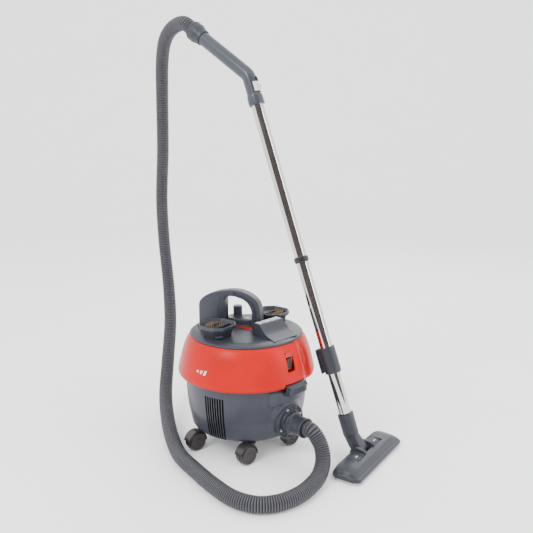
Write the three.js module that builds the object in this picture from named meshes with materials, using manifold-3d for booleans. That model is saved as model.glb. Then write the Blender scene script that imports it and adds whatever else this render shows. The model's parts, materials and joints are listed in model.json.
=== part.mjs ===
// Round tub vacuum cleaner with a lift-off head, five casters, a ribbed hose, a two-piece chrome
// wand with a bent hand grip, and a switchable floor nozzle. Millimetres, +Z up, floor at Z = 0.
import * as THREE from 'three';
import { mergeVertices } from 'three/addons/utils/BufferGeometryUtils.js';
import Module from 'manifold-3d';

const wasm = await Module();
wasm.setup();

// ---- driving dimensions -------------------------------------------------------------------

const GAP = 0.3; // between pieces that touch
const SLIP = 0.8; // round a piece that turns or slides in another
const ROUND = 32; // facets round the big turned shells
const SMALL_ROUND = 16; // facets round small turned pieces

// Where the canister's axis and the wand's foot stand, so that the origin is under the middle
// of everything but the hose.
const CANISTER_AT = [-115.6, 24.5];
const CANISTER_TURN = 44; // the inlet side faces this far round from -Y towards +X
const NOZZLE_AT = [189.4, -99.5];
const NOZZLE_TURN = 56.5; // the nozzle pushes this far round from -Y towards +X
const WAND_LEAN = 19.3; // the wand leans back this far from upright

// Tub
const TUB_BASE = 53;
const TUB_FILLET = 18;
const TUB_WALL = 3;
const TUB_RIM_Z = 196;
const TUB_RIM_R = 166;

// Head
const HEAD_BASE = 200.6; // underside of the motor plate, on the seal
const LID_Z = 302.3;
const LID_R = 147.5;
const LID_TOP = 311;
const HOOD_WALL = 3;

// Casters
const CASTER_COUNT = 5;
const CASTER_CIRCLE = 131;
const CASTER_FIRST = -37; // turn of the first caster from the inlet side
const CASTER_HEADING = [42, 40, 41, 38, 40]; // how far each one has trailed round, degrees
const CASTER_TRAIL = 18;
const WHEEL_R = 25;
const WHEEL_HALF = 15;
const STEM_R = 4;

// Inlet and hose
const INLET_Z = 101;
const FLANGE_R = 45;
const FLANGE_FACE = 167; // distance of the flange's face from the canister's axis
const CONNECTOR_END = 218;
const HOSE_R = 19.25;
const CUFF_R = 25;

// Wand
const TUBE_R = 16;
const TUBE_WALL = 1.5;
const GRIP_R = 18;
const JOINT_AT = 423; // height of the tube joint above the neck, along the wand
const WAND_TOP = 845;
const CORNER_AT = 901.7; // where the grip's two straight runs would meet
const GRIP_BEND = 36.2;
const GRIP_RUN = 218; // from that corner to the hose end of the cuff
const CLIP_AT = 150;

// Floor nozzle
const NOZZLE_LONG = 264;
const NOZZLE_FRONT = -45;
const NOZZLE_BACK = 31;
const NOZZLE_TOP = 32;
const PIVOT = [0, 14, 24];
const NECK = [0, 57.7, 105]; // lower end of the wand's straight line, from the nozzle's foot

// ---- materials ----------------------------------------------------------------------------

function finish(color, roughness, metalness = 0) {
  return new THREE.MeshStandardMaterial({ color, roughness, metalness });
}

const GREY = finish(0x54565f, 0.5);
const RED = finish(0xf5523c, 0.4);
const DARK = finish(0x3a3c42, 0.55);
const HOSE_GREY = finish(0x5a5b62, 0.6);
const CASTER = finish(0x4a4347, 0.45);
const CHROME = finish(0xc9c9cc, 0.12, 1);
const STEEL = finish(0xa5a7ab, 0.35, 1);
const RUBBER = finish(0x232325, 0.8);
const PAPER = finish(0xd8cdb4, 0.95);
const BRISTLE = finish(0xb58a52, 0.9);
const COPPER = finish(0x9a5a35, 0.45, 1);
const WHITE = finish(0xe8e8ea, 0.4);

// ---- solid helpers ------------------------------------------------------------------------

const rad = THREE.MathUtils.degToRad;

/** The geometry with shared corners merged and flat triangles dropped. */
function welded(geometry) {
  const bare = geometry.clone();
  bare.deleteAttribute('normal');
  bare.deleteAttribute('uv');
  const merged = mergeVertices(bare, 1e-3);
  const kept = [];
  const index = merged.index.array;
  for (let i = 0; i < index.length; i += 3) {
    const [a, b, c] = [index[i], index[i + 1], index[i + 2]];
    if (a !== b && b !== c && a !== c) {
      kept.push(a, b, c);
    }
  }
  merged.setIndex(kept);
  return merged;
}

function solid(geometry) {
  const shape = welded(geometry);
  return new wasm.Manifold(
    new wasm.Mesh({
      numProp: 3,
      vertProperties: Float32Array.from(shape.attributes.position.array),
      triVerts: Uint32Array.from(shape.index.array),
    }),
  );
}

function geometryOf(body) {
  const mesh = body.getMesh();
  const geometry = new THREE.BufferGeometry();
  geometry.setAttribute('position', new THREE.BufferAttribute(mesh.vertProperties, 3));
  geometry.setIndex(new THREE.BufferAttribute(mesh.triVerts, 1));
  geometry.computeVertexNormals();
  return geometry;
}

/** base with the joined geometries added and then the cut ones taken away. */
function shaped(base, joined, cuts = []) {
  let body = solid(base);
  for (const geometry of joined) {
    body = body.add(solid(geometry));
  }
  for (const geometry of cuts) {
    body = body.subtract(solid(geometry));
  }
  return geometryOf(body);
}

/** A turned solid about Z from [radius, height] pairs that run counter-clockwise. */
function turned(profile, facets = ROUND) {
  const points = profile.map(([r, z]) => new THREE.Vector2(r, z));
  return new THREE.LatheGeometry(points, facets).rotateX(Math.PI / 2);
}

/** A turned ring: the profile closes on itself. */
function ring(profile, facets = ROUND) {
  return turned([...profile, profile[0]], facets);
}

function tube(outer, inner, low, high, facets = SMALL_ROUND) {
  return ring([[inner, low], [outer, low], [outer, high], [inner, high]], facets);
}

function rod(radius, low, high, facets = SMALL_ROUND) {
  return turned([[0, low], [radius, low], [radius, high], [0, high]], facets);
}

/** A box from its low and high corners. */
function block(low, high) {
  const size = high.map((value, i) => value - low[i]);
  const box = new THREE.BoxGeometry(...size);
  return box.translate(...low.map((value, i) => value + size[i] / 2));
}

/** Points of an arc in a profile, angles in degrees. */
function arc(centre, radius, from, to, steps) {
  const points = [];
  for (let i = 0; i <= steps; i += 1) {
    const angle = rad(from + ((to - from) * i) / steps);
    points.push([centre[0] + radius * Math.cos(angle), centre[1] + radius * Math.sin(angle)]);
  }
  return points;
}

function outline(points) {
  return new THREE.Shape(points.map(([x, y]) => new THREE.Vector2(x, y)));
}

/** A flat outline in X and Y, raised from low to high. */
function plate(points, low, high) {
  const geometry = new THREE.ExtrudeGeometry(outline(points), {
    depth: high - low,
    bevelEnabled: false,
    steps: 1,
  });
  return geometry.translate(0, 0, low);
}

/** An outline in Y and Z, run along X from low to high. */
function along(points, low, high) {
  return plate(points, low, high).rotateY(Math.PI / 2).rotateX(Math.PI / 2);
}

function roundedRectangle(left, right, front, back, radius, steps = 4) {
  return [
    ...arc([right - radius, front + radius], radius, -90, 0, steps),
    ...arc([right - radius, back - radius], radius, 0, 90, steps),
    ...arc([left + radius, back - radius], radius, 90, 180, steps),
    ...arc([left + radius, front + radius], radius, 180, 270, steps),
  ];
}

/** A round tube, hollow where bore is given, along a curve. */
function swept(curve, radius, steps, sides, bore = 0) {
  const circle = (r) => arc([0, 0], r, 0, 360 - 360 / sides, sides - 1);
  const section = outline(circle(radius));
  if (bore > 0) {
    const hole = circle(bore).reverse();
    section.holes.push(new THREE.Path(hole.map(([x, y]) => new THREE.Vector2(x, y))));
  }
  return new THREE.ExtrudeGeometry(section, { steps, bevelEnabled: false, extrudePath: curve });
}

function piece(parent, name, geometry, material) {
  const mesh = new THREE.Mesh(geometry, material);
  mesh.name = name;
  parent.add(mesh);
  return mesh;
}

/** A group at a point, turned about Z. */
function station(parent, at, turn = 0) {
  const group = new THREE.Group();
  group.position.set(at[0], at[1], at[2] ?? 0);
  group.rotation.z = rad(turn);
  parent.add(group);
  return group;
}

/** The point at a distance from the axis, turned round from the inlet side (-Y). */
function polar(radius, turn) {
  return [radius * Math.sin(rad(turn)), -radius * Math.cos(rad(turn))];
}

function turnedTo(geometry, turn) {
  return geometry.clone().rotateZ(rad(turn));
}

// ---- the whole machine --------------------------------------------------------------------

const machine = new THREE.Group();
const canister = station(machine, CANISTER_AT, CANISTER_TURN);
const wandFoot = station(machine, NOZZLE_AT, NOZZLE_TURN);

// ---- tub ----------------------------------------------------------------------------------

const TUB_WALL_LINE = [[147, 71], [154.5, 109], [159, 154], [160, TUB_RIM_Z - 3]];
const LATCH_TURNS = [1, 181];
const LATCH_HALF = 31;
const NOTCH_HALF = LATCH_HALF + 3;
const LATCH_PIN = [168, 184]; // distance from the axis, and height, of a latch's hinge pin

function tubOutside(extra = 0) {
  const bottom = arc([129, 71], TUB_FILLET + extra, -90, -18, 3);
  const wall = TUB_WALL_LINE.map(([r, z]) => [r + extra, z]);
  return turned([[0, TUB_BASE - extra], ...bottom, ...wall, [0, TUB_RIM_Z - 3]]);
}

function tub() {
  const outer = [...arc([129, 71], TUB_FILLET, -90, -18, 3), ...TUB_WALL_LINE];
  const inner = [...arc([129, 71], TUB_FILLET - TUB_WALL, -90, -30, 2), ...TUB_WALL_LINE
    .map(([r, z]) => [r - TUB_WALL, z])].reverse();
  const rim = [[TUB_RIM_R, TUB_RIM_Z - 3], [TUB_RIM_R, TUB_RIM_Z + 2], [157, TUB_RIM_Z + 2]];
  const shell = turned([[0, TUB_BASE], ...outer, ...rim, ...inner.slice(1),
    [0, TUB_BASE + TUB_WALL]]);
  const joined = [];
  const cuts = [];
  for (let i = 0; i < CASTER_COUNT; i += 1) {
    const [x, y] = polar(CASTER_CIRCLE, CASTER_FIRST + (360 / CASTER_COUNT) * i);
    joined.push(rod(11, TUB_BASE - 0.6, 74, 12).translate(x, y, 0));
    cuts.push(rod(STEM_R + 0.5, TUB_BASE - 2, 71, 8).translate(x, y, 0));
  }
  for (const turn of LATCH_TURNS) {
    const pad = [[-166, 176], [-158, 150], [-152, 150], [-152, 190], [-158, 190]];
    joined.push(turnedTo(along(pad, -22, 22), turn));
    const trough = block([-LATCH_HALF - 2, -175, 178.5], [LATCH_HALF + 2, -162.5, 199]);
    cuts.push(turnedTo(trough, turn));
  }
  cuts.push(rod(23, 120, 175).rotateX(Math.PI / 2).translate(0, 0, INLET_Z));
  return shaped(shell, joined, cuts);
}

piece(canister, 'tub', tub(), GREY);
piece(canister, 'rim_seal', tube(165, 152, TUB_RIM_Z + 2 + GAP, HEAD_BASE - GAP, ROUND), RUBBER);

const BAG = [[0, 58], [84, 58], [100, 66], [106, 92], [102, 122], [84, 138], [30, 143], [0, 143]];
piece(canister, 'dust_bag', turned(BAG, 16), PAPER);

// ---- inlet --------------------------------------------------------------------------------

const SCREW_CIRCLE = 36;
const SCREW_TURNS = [20, 110, 200, 290];

/** Lies along -Y at the inlet's height: a shape turned about Z, laid down. */
function atInlet(geometry) {
  return geometry.rotateX(Math.PI / 2).translate(0, 0, INLET_Z);
}

function screwSpot(turn) {
  return [SCREW_CIRCLE * Math.cos(rad(turn)), SCREW_CIRCLE * Math.sin(rad(turn))];
}

function inletFlange() {
  const disc = ring([[23.6, 130], [30, 130], [30, 140], [FLANGE_R, 140],
    [FLANGE_R, FLANGE_FACE - 4], [FLANGE_R - 3, FLANGE_FACE - 1],
    [31, FLANGE_FACE - 1], [30, FLANGE_FACE + 3], [25.5, FLANGE_FACE + 3]], 24);
  const holes = SCREW_TURNS.map((turn) => {
    const [x, y] = screwSpot(turn);
    return rod(2.4, 125, 180, 6).translate(x, y, 0);
  });
  const flange = shaped(disc, [], holes);
  atInlet(flange);
  return shaped(flange, [], [tubOutside(GAP)]);
}

piece(canister, 'inlet_flange', inletFlange(), GREY);

SCREW_TURNS.forEach((turn, i) => {
  const [x, y] = screwSpot(turn);
  const head = FLANGE_FACE - 1 + GAP;
  const screw = turned([[0, head - 8], [2, head - 8], [2, head], [4, head], [4, head + 1.4],
    [2.6, head + 2.4], [0, head + 2.4]], 8).translate(x, y, 0);
  piece(canister, `flange_screw_${i + 1}`, atInlet(screw), STEEL);
});

function hoseConnector() {
  const body = ring([[17, 140], [22, 140], [22.7, 146], [22.7, FLANGE_FACE + 3 + GAP],
    [29, FLANGE_FACE + 3 + GAP], [29, FLANGE_FACE + 12], [24.5, FLANGE_FACE + 15],
    [24.5, CONNECTOR_END - 6], [CUFF_R, CONNECTOR_END - 5], [CUFF_R, CONNECTOR_END],
    [17, CONNECTOR_END]], 16);
  const lugs = [0, 180].map((turn) => turnedTo(
    block([24, -7, FLANGE_FACE + 3 + GAP], [33, 7, FLANGE_FACE + 9]), turn));
  return atInlet(shaped(body, lugs));
}

piece(canister, 'hose_connector', hoseConnector(), GREY);

// ---- casters ------------------------------------------------------------------------------

/** A caster's pieces in its own frame: stem on Z, wheels trailing towards -X. */
function casterFork() {
  const sector = [...arc([0, 0], 27.8, 0, 160, 8), ...arc([0, 0], WHEEL_R + 0.7, 160, 0, 8)];
  const across = (shape, half) => plate(shape, -half, half).rotateX(Math.PI / 2)
    .translate(-CASTER_TRAIL, 0, WHEEL_R);
  const hood = across(sector, WHEEL_HALF - 1.5);
  const web = across(arc([0, 0], 26.5, -50, 230, 10), 3.5);
  const arm = block([-18, -3.5, 30], [8, 3.5, 50]);
  const post = rod(10, 49.5, TUB_BASE - 1.1, 12);
  const stem = rod(STEM_R, 48, 69.5, 8);
  const bore = rod(3.3, -20, 20, 8).rotateX(Math.PI / 2).translate(-CASTER_TRAIL, 0, WHEEL_R);
  return shaped(web, [hood, arm, post, stem], [bore]);
}

function casterWheels() {
  const half = [[2.9, 4.2], [WHEEL_R, 4.2], [WHEEL_R, WHEEL_HALF - 2.5],
    [WHEEL_R - 3, WHEEL_HALF], [0, WHEEL_HALF]];
  const mirrored = half.map(([r, y]) => [r, -y]).reverse();
  return turned([...mirrored, ...half], 16).rotateX(Math.PI / 2)
    .translate(-CASTER_TRAIL, 0, WHEEL_R);
}

for (let i = 0; i < CASTER_COUNT; i += 1) {
  const turn = CASTER_FIRST + (360 / CASTER_COUNT) * i;
  const corner = station(canister, polar(CASTER_CIRCLE, turn), CASTER_HEADING[i] - CANISTER_TURN);
  piece(corner, `caster_fork_${i + 1}`, casterFork(), CASTER);
  piece(corner, `caster_wheels_${i + 1}`, casterWheels(), CASTER);
}

// ---- latches ------------------------------------------------------------------------------

/** A latch lever: a flat box on its hinge barrel, with a lip to pull and a hook over the rim. */
function latch() {
  const [reach, height] = LATCH_PIN;
  const side = [[-188, 181.5], [-188, 206], [-181, 208.5], [-169, 208.5], [-169, 203],
    [-173.5, 203], [-173.5, 190], [-reach, 188.2], [-reach + 3, 187], [-reach + 4, height],
    [-reach + 3, 181.2], [-reach, 180]];
  return along(side, -LATCH_HALF, LATCH_HALF);
}

['front_latch', 'rear_latch'].forEach((name, i) => {
  piece(station(canister, [0, 0], LATCH_TURNS[i]), name, latch(), GREY);
});

// ---- head shells --------------------------------------------------------------------------

const HOOD_OUTSIDE = [[172, 199.5], [177, 201], [179.6, 205], [180, 209], [176.6, 225],
  [170.8, 249], [162.6, 275], [155, 291], [147.3, 301]];
const SWITCH_TURN = -1.5;
const SWITCH_Z = 262;

function hoodOutside(extra = 0) {
  const wall = HOOD_OUTSIDE.map(([r, z]) => [r + extra, z]);
  return turned([[0, HOOD_OUTSIDE[0][1]], ...wall, [0, HOOD_OUTSIDE[8][1]]]);
}

function hood() {
  const inside = HOOD_OUTSIDE.map(([r, z]) => [r - HOOD_WALL, z]).slice(1).reverse();
  inside[0][1] -= 1;
  const shell = ring([...HOOD_OUTSIDE, ...inside, [169.6, 204], [169.6, 199.5]]);
  const notches = LATCH_TURNS.map((turn) => turnedTo(
    block([-NOTCH_HALF, -192, 195], [NOTCH_HALF, -160, 211]), turn));
  const window = turnedTo(block([-14.5, -190, SWITCH_Z - 24], [14.5, -140, SWITCH_Z + 24]),
    SWITCH_TURN);
  return shaped(shell, [], [...notches, window]);
}

piece(canister, 'hood', hood(), RED);

const HANDLE_AT = [-40, 3]; // middle of the handle, before the canister is turned
const HANDLE_TURN = -20;
const SHELF_TOP = 331;

/** A place given in the machine's directions, seen from the turned canister. */
function inCanister([x, y], z = 0) {
  const point = new THREE.Vector3(x, y, z);
  return point.applyAxisAngle(new THREE.Vector3(0, 0, 1), -rad(CANISTER_TURN)).toArray();
}

/** The lid, with the raised shelf behind the handle. */
function lid() {
  const cap = turned([[0, 298], [143, 298], [143, LID_Z], [LID_R - 1, LID_Z], [LID_R, 304],
    [LID_R - 1.5, 306.5], [143, 308.5], [128, LID_TOP], [0, LID_TOP]]);
  const shelf = plate(roundedRectangle(-25, 50, 17, 60, 10, 3), LID_TOP - 4, SHELF_TOP);
  const [x, y] = inCanister(HANDLE_AT);
  return shaped(cap, [turnedTo(shelf, HANDLE_TURN - CANISTER_TURN).translate(x, y, 0)]);
}

piece(canister, 'lid', lid(), GREY);

// ---- on the lid ---------------------------------------------------------------------------

const HANDLE_HALF = 87;
const HANDLE_THICK = 28;
const HANDLE_TOP = 417;
const ON_LID = LID_TOP + GAP;

/** The handle's side outline in X and Z: a solid block, an arch and a thin leg. */
function handleSide() {
  return [
    [-HANDLE_HALF, ON_LID], [-HANDLE_HALF, 377], [-HANDLE_HALF + 6, 390], [-HANDLE_HALF + 22, 402],
    [-26, 412.5], [8, HANDLE_TOP], [28, HANDLE_TOP - 1], [58, 408], [76, 397], [84, 383],
    [HANDLE_HALF, 363], [HANDLE_HALF, ON_LID], [64, ON_LID], [64, 366], [60, 383], [46, 392],
    [20, 399], [4, 400], [-8, 398], [-12, 392], [-12, ON_LID],
  ];
}

function handle() {
  return plate(handleSide(), -HANDLE_THICK / 2, HANDLE_THICK / 2).rotateX(Math.PI / 2);
}

const handleStation = station(canister, inCanister(HANDLE_AT), HANDLE_TURN - CANISTER_TURN);
piece(handleStation, 'handle', handle(), GREY);

/** A block with a flat top and a front that flares down to the lid. */
function consoleBlock() {
  const side = [[-56, ON_LID], [-56, 343], [-80, 343], [-89, 335], [-99, 326], [-112, 319],
    [-130, 315], [-130, ON_LID]];
  return along(side, -28, 55);
}

piece(canister, 'control_console', consoleBlock(), GREY);

const POST_AT = [-24, 45];
const POST_TOP = 360;
piece(station(canister, inCanister(POST_AT)), 'tool_post', turned([[0, SHELF_TOP + GAP],
  [12.5, SHELF_TOP + GAP], [12.5, POST_TOP - 1.5], [11, POST_TOP], [0, POST_TOP]], 16), GREY);

const TOOL_PLACES = [[-71, -62], [68, 60]];
const TOOL_TOP = 342;

/** An eight-sided flared brush tool standing on its round neck, open at the top. */
function brushTool() {
  const octagon = (half, cut) => [[half, half - cut], [half - cut, half], [cut - half, half],
    [-half, half - cut], [-half, cut - half], [cut - half, -half], [half - cut, -half],
    [half, cut - half]];
  const flare = plate(octagon(43, 21), 332, TOOL_TOP);
  const cone = turned([[0, ON_LID], [37, ON_LID], [37, 330], [42, 334], [0, 334]], 24);
  const mouth = plate(octagon(39, 19), 335, TOOL_TOP + 4);
  const throat = rod(13, 300, 350, 16);
  return shaped(flare, [cone], [mouth, throat]);
}

function bristleTuft() {
  const fan = [[-30, -14], [-24, -19], [24, -19], [30, -14], [30, -8], [-30, -8]];
  return plate(fan, 335 + GAP, TOOL_TOP + 1);
}

TOOL_PLACES.forEach((at, i) => {
  const turn = 51 - CANISTER_TURN + 180 * i;
  const place = station(canister, inCanister(at), turn);
  const tuft = bristleTuft();
  piece(place, `brush_tool_${i + 1}`, brushTool(), GREY);
  piece(place, `bristle_tuft_${i + 1}`, tuft.translate(0, i === 0 ? 0 : 27, 0), BRISTLE);
});

// ---- switch -------------------------------------------------------------------------------

const SWITCH_REACH = 166.5; // hood's distance from the axis at the switch
const switchStation = station(canister, [0, 0], SWITCH_TURN);

function switchBezel() {
  const low = [-14.2, -SWITCH_REACH + 1, SWITCH_Z - 23.7];
  const high = [14.2, -SWITCH_REACH + 26, SWITCH_Z + 23.7];
  const pocket = block([-12.5, -200, SWITCH_Z - 22], [12.5, -SWITCH_REACH + 8, SWITCH_Z + 22]);
  const socket = block([-8.3, -200, SWITCH_Z - 19], [8.3, -SWITCH_REACH + 17, SWITCH_Z + 9]);
  const wire = block([-4, -160, SWITCH_Z - 10], [4, -130, SWITCH_Z]);
  const hoodInside = turned([[0, 210], [176.3, 210], [173.3, 225], [167.5, 249], [159.3, 275],
    [151.7, 291], [0, 300]]);
  const box = solid(block(low, high)).intersect(solid(turnedTo(hoodInside, 0)));
  const cut = box.subtract(solid(pocket)).subtract(solid(socket)).subtract(solid(wire));
  return geometryOf(cut);
}

piece(switchStation, 'switch_bezel', switchBezel(), RED);

function rocker() {
  const y = -SWITCH_REACH + 7;
  const z = SWITCH_Z - 5;
  const side = [[y - 4, z - 13], [y - 1.5, z], [y - 2.5, z + 13], [y + 1, z + 11.5],
    [y + 4, z + 6], [y + 5, z], [y + 4, z - 6], [y + 1, z - 11.5]];
  return along(side, -7.5, 7.5);
}

piece(switchStation, 'switch_rocker', rocker(), DARK);

// ---- inside the head ----------------------------------------------------------------------

const PLATE_TOP = HEAD_BASE + 5.4;

piece(canister, 'motor_plate', tube(164, 34, HEAD_BASE, PLATE_TOP, ROUND), DARK);
piece(canister, 'filter_basket', ring([[92, 149], [98, 152], [100, HEAD_BASE - GAP],
  [36, HEAD_BASE - GAP], [36, 197], [97, 197], [95, 154], [36, 152], [36, 149]], 16), PAPER);
piece(canister, 'motor_housing', ring([[36, PLATE_TOP + GAP], [75, PLATE_TOP + GAP], [75, 278],
  [60, 290], [12, 290], [12, 287], [58.5, 287], [72, 276], [72, PLATE_TOP + 3.3],
  [36, PLATE_TOP + 3.3]], 16), DARK);
piece(canister, 'motor_stator', tube(70.3, 32, 232, 268, 16), STEEL);
piece(canister, 'exhaust_filter', tube(112, 77, PLATE_TOP + GAP, 252, 16), PAPER);

const armature = turned([[0, 209], [5, 209], [5, 230], [29, 230], [29, 270], [5, 270], [5, 284],
  [0, 284]], 12);
piece(canister, 'armature', armature, COPPER);
const impeller = ring([[5.6, 214], [66, 214], [66, 216], [20, 219], [12, 226], [5.6, 226]], 12);
piece(canister, 'fan_impeller', impeller, STEEL);

function cordGland() {
  const gland = turned([[0, 150], [9, 150], [9, 184], [6, 196], [0, 196]], 16);
  const laid = gland.rotateX(-Math.PI / 2).translate(0, 0, 232);
  return shaped(laid, [], [hoodOutside(GAP), rod(3.6, 150, 200, 10).rotateX(-Math.PI / 2)
    .translate(0, 0, 232)]);
}

piece(canister, 'cord_gland', cordGland(), DARK);

// ---- wand ---------------------------------------------------------------------------------

const wand = new THREE.Group();
wand.position.set(...NECK);
wand.rotation.x = -rad(WAND_LEAN);
wandFoot.add(wand);

const SPIGOT = 38;
const TUBE_FOOT = 22; // the lower tube reaches this far down into the neck
piece(wand, 'lower_tube', tube(TUBE_R, TUBE_R - TUBE_WALL, -TUBE_FOOT, JOINT_AT), CHROME);
piece(wand, 'upper_tube', ring([[12.7, JOINT_AT - SPIGOT], [14.2, JOINT_AT - SPIGOT],
  [14.2, JOINT_AT + GAP], [TUBE_R, JOINT_AT + 2], [TUBE_R, WAND_TOP], [14.5, WAND_TOP],
  [14.5, JOINT_AT + 3], [12.7, JOINT_AT]], 16), CHROME);
piece(wand, 'joint_ring', ring([[TUBE_R + GAP, JOINT_AT - 14], [18.2, JOINT_AT - 14],
  [18.6, JOINT_AT - 2], [18.2, JOINT_AT], [TUBE_R + GAP, JOINT_AT]], 16), DARK);

function parkingClip() {
  const sleeve = tube(21, TUBE_R + GAP, CLIP_AT - 34, CLIP_AT + 34);
  const rail = block([-7, 19, CLIP_AT - 30], [7, 26, CLIP_AT + 30]);
  const flangeOfRail = block([-11, 26, CLIP_AT - 32], [11, 30, CLIP_AT + 32]);
  const root = block([-7, 18.5, CLIP_AT - 30], [7, 21, CLIP_AT + 30]);
  return shaped(sleeve, [root, rail, flangeOfRail], []);
}

piece(wand, 'parking_clip', parkingClip(), GREY);

/** The grip's centre line: up the wand, round the bend and out towards the hose. */
function gripPoint(distance) {
  return new THREE.Vector3(0, Math.sin(rad(GRIP_BEND)) * distance,
    CORNER_AT + Math.cos(rad(GRIP_BEND)) * distance);
}

function gripTube() {
  const bendStart = new THREE.Vector3(0, 0, CORNER_AT - 34);
  const corner = new THREE.Vector3(0, 0, CORNER_AT);
  const path = new THREE.CurvePath();
  path.add(new THREE.LineCurve3(new THREE.Vector3(0, 0, WAND_TOP + GAP), bendStart));
  path.add(new THREE.QuadraticBezierCurve3(bendStart, corner, gripPoint(34)));
  path.add(new THREE.LineCurve3(gripPoint(34), gripPoint(GRIP_RUN - 8)));
  const grip = swept(path, GRIP_R, 13, 12, 14);
  const socket = ring([[TUBE_R + GAP, WAND_TOP - 22], [21, WAND_TOP - 22],
    [21, WAND_TOP + 4], [19, WAND_TOP + 8], [14.5, WAND_TOP + 8], [14.5, WAND_TOP + GAP],
    [TUBE_R + GAP, WAND_TOP + GAP]]);
  const vent = block([-5, -30, WAND_TOP + 18], [5, -10, WAND_TOP + 32]);
  return shaped(grip, [socket], [vent]);
}

piece(wand, 'grip_tube', gripTube(), GREY);

function suctionSlider() {
  const sleeve = ring([[GRIP_R + SLIP, WAND_TOP + 12], [20.9, WAND_TOP + 12],
    [20.9, WAND_TOP + 31], [GRIP_R + SLIP, WAND_TOP + 31]]);
  const back = block([-30, -8, WAND_TOP], [30, 30, WAND_TOP + 60]);
  return shaped(sleeve, [block([-6, -23, WAND_TOP + 17], [6, -19.6, WAND_TOP + 21])], [back]);
}

piece(wand, 'suction_slider', suctionSlider(), WHITE);

// ---- hose and its cuff --------------------------------------------------------------------

const cuff = new THREE.Group();
cuff.position.copy(gripPoint(GRIP_RUN));
cuff.rotation.x = -rad(GRIP_BEND);
wand.add(cuff);
piece(cuff, 'hose_cuff', ring([[GRIP_R + SLIP, -44], [20.5, -44], [21.5, -34], [24, -26],
  [CUFF_R, -22], [CUFF_R, -2], [24, 0], [17, 0], [17, -5], [GRIP_R + SLIP, -6]], 16), GREY);

machine.updateMatrixWorld(true);
const hoseStart = cuff.localToWorld(new THREE.Vector3(0, 0, GAP));
const hoseLead = cuff.localToWorld(new THREE.Vector3(0, 0, 30));
const hoseEnd = canister.localToWorld(new THREE.Vector3(0, -CONNECTOR_END - GAP, INLET_Z));
const hoseRise = canister.localToWorld(new THREE.Vector3(0, -CONNECTOR_END - 20, INLET_Z));

// From the grip over the top, down behind, and round the front of the tub on the floor.
const HOSE_ROUTE = [
  [-317, 266, 1096], [-352, 334, 1069], [-370, 386, 1015], [-380, 430, 920], [-388, 459, 757],
  [-397, 463, 600], [-393, 456, 470], [-377, 420, 320], [-366, 356, 225], [-363, 266, 135],
  [-356, 160, 66], [-335, 56, 34], [-310, -32, 21], [-279, -117, 20], [-232, -190, 20],
  [-184, -257, 20], [-136, -310, 20], [-89, -333, 20], [-43, -330, 20], [1, -305, 20],
  [37, -263, 20], [63, -217, 25], [74, -180, 44], [69, -159, 72],
];

const hosePath = new THREE.CatmullRomCurve3([hoseStart, hoseLead,
  ...HOSE_ROUTE.map((point) => new THREE.Vector3(...point)), hoseRise, hoseEnd], false,
'centripetal');
piece(machine, 'hose', swept(hosePath, HOSE_R, 46, 10), HOSE_GREY);

// ---- floor nozzle -------------------------------------------------------------------------

const [, PIVOT_Y, PIVOT_Z] = PIVOT;
const PIN_R = 4;
const TRUNNION_R = 14;
const TRUNNION_HALF = 19;

/** Turned about the nozzle's long axis, from low to high along it. */
function crosswise(radius, low, high, y, z, facets = SMALL_ROUND) {
  return rod(radius, low, high, facets).rotateY(Math.PI / 2).translate(0, y, z);
}

/** The point on the wand's line at this height along it, from the nozzle's foot. */
function onWand(distance) {
  const lean = rad(WAND_LEAN);
  return new THREE.Vector3(0, NECK[1] + Math.sin(lean) * distance,
    NECK[2] + Math.cos(lean) * distance);
}

function neckElbow() {
  const bend = new THREE.QuadraticBezierCurve3(onWand(-34), onWand(-58),
    new THREE.Vector3(0, PIVOT_Y, PIVOT_Z));
  const below = block([-40, -40, -30], [40, 60, PIVOT_Z - 2]);
  const throat = shaped(swept(bend, 17, 5, 12), [], [below]);
  const lean = -rad(WAND_LEAN);
  const seat = -TUBE_FOOT - GAP;
  const socket = ring([[17, -48], [20, -44], [20, 7], [TUBE_R + SLIP, 7], [TUBE_R + SLIP, seat],
    [10, seat], [10, -48]], 16);
  socket.rotateX(lean).translate(...NECK);
  const trunnion = crosswise(TRUNNION_R, -TRUNNION_HALF, TRUNNION_HALF, PIVOT_Y, PIVOT_Z);
  const bore = crosswise(PIN_R + GAP, -40, 40, PIVOT_Y, PIVOT_Z, 12);
  return shaped(throat, [socket, trunnion], [bore]);
}

piece(wandFoot, 'neck_elbow', neckElbow(), GREY);

const ROLLER_R = 8;
const ROLLER_AT = [96, 21, ROLLER_R];
const STRIP_ROWS = [NOZZLE_FRONT + 7, -6];
const STRIP_HALF_LONG = 116;
const PEDAL_AT = 52;
const MOUTH = [[-100, -32], [100, -14]];

/** The room that the rollers, the brush strips and the mouth take out of a piece. */
function nozzleRoom() {
  const rooms = [-1, 1].map((side) => {
    const x = side * ROLLER_AT[0];
    return block([x - 8.5, ROLLER_AT[1] - 9, -1], [x + 8.5, NOZZLE_BACK + 5, 17]);
  });
  for (const row of STRIP_ROWS) {
    rooms.push(block([-STRIP_HALF_LONG - 1, row - 2.5, -1], [STRIP_HALF_LONG + 1, row + 2.5, 15]));
  }
  rooms.push(block([MOUTH[0][0], MOUTH[0][1], -1], [MOUTH[1][0], MOUTH[1][1], 18]));
  return rooms;
}

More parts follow.
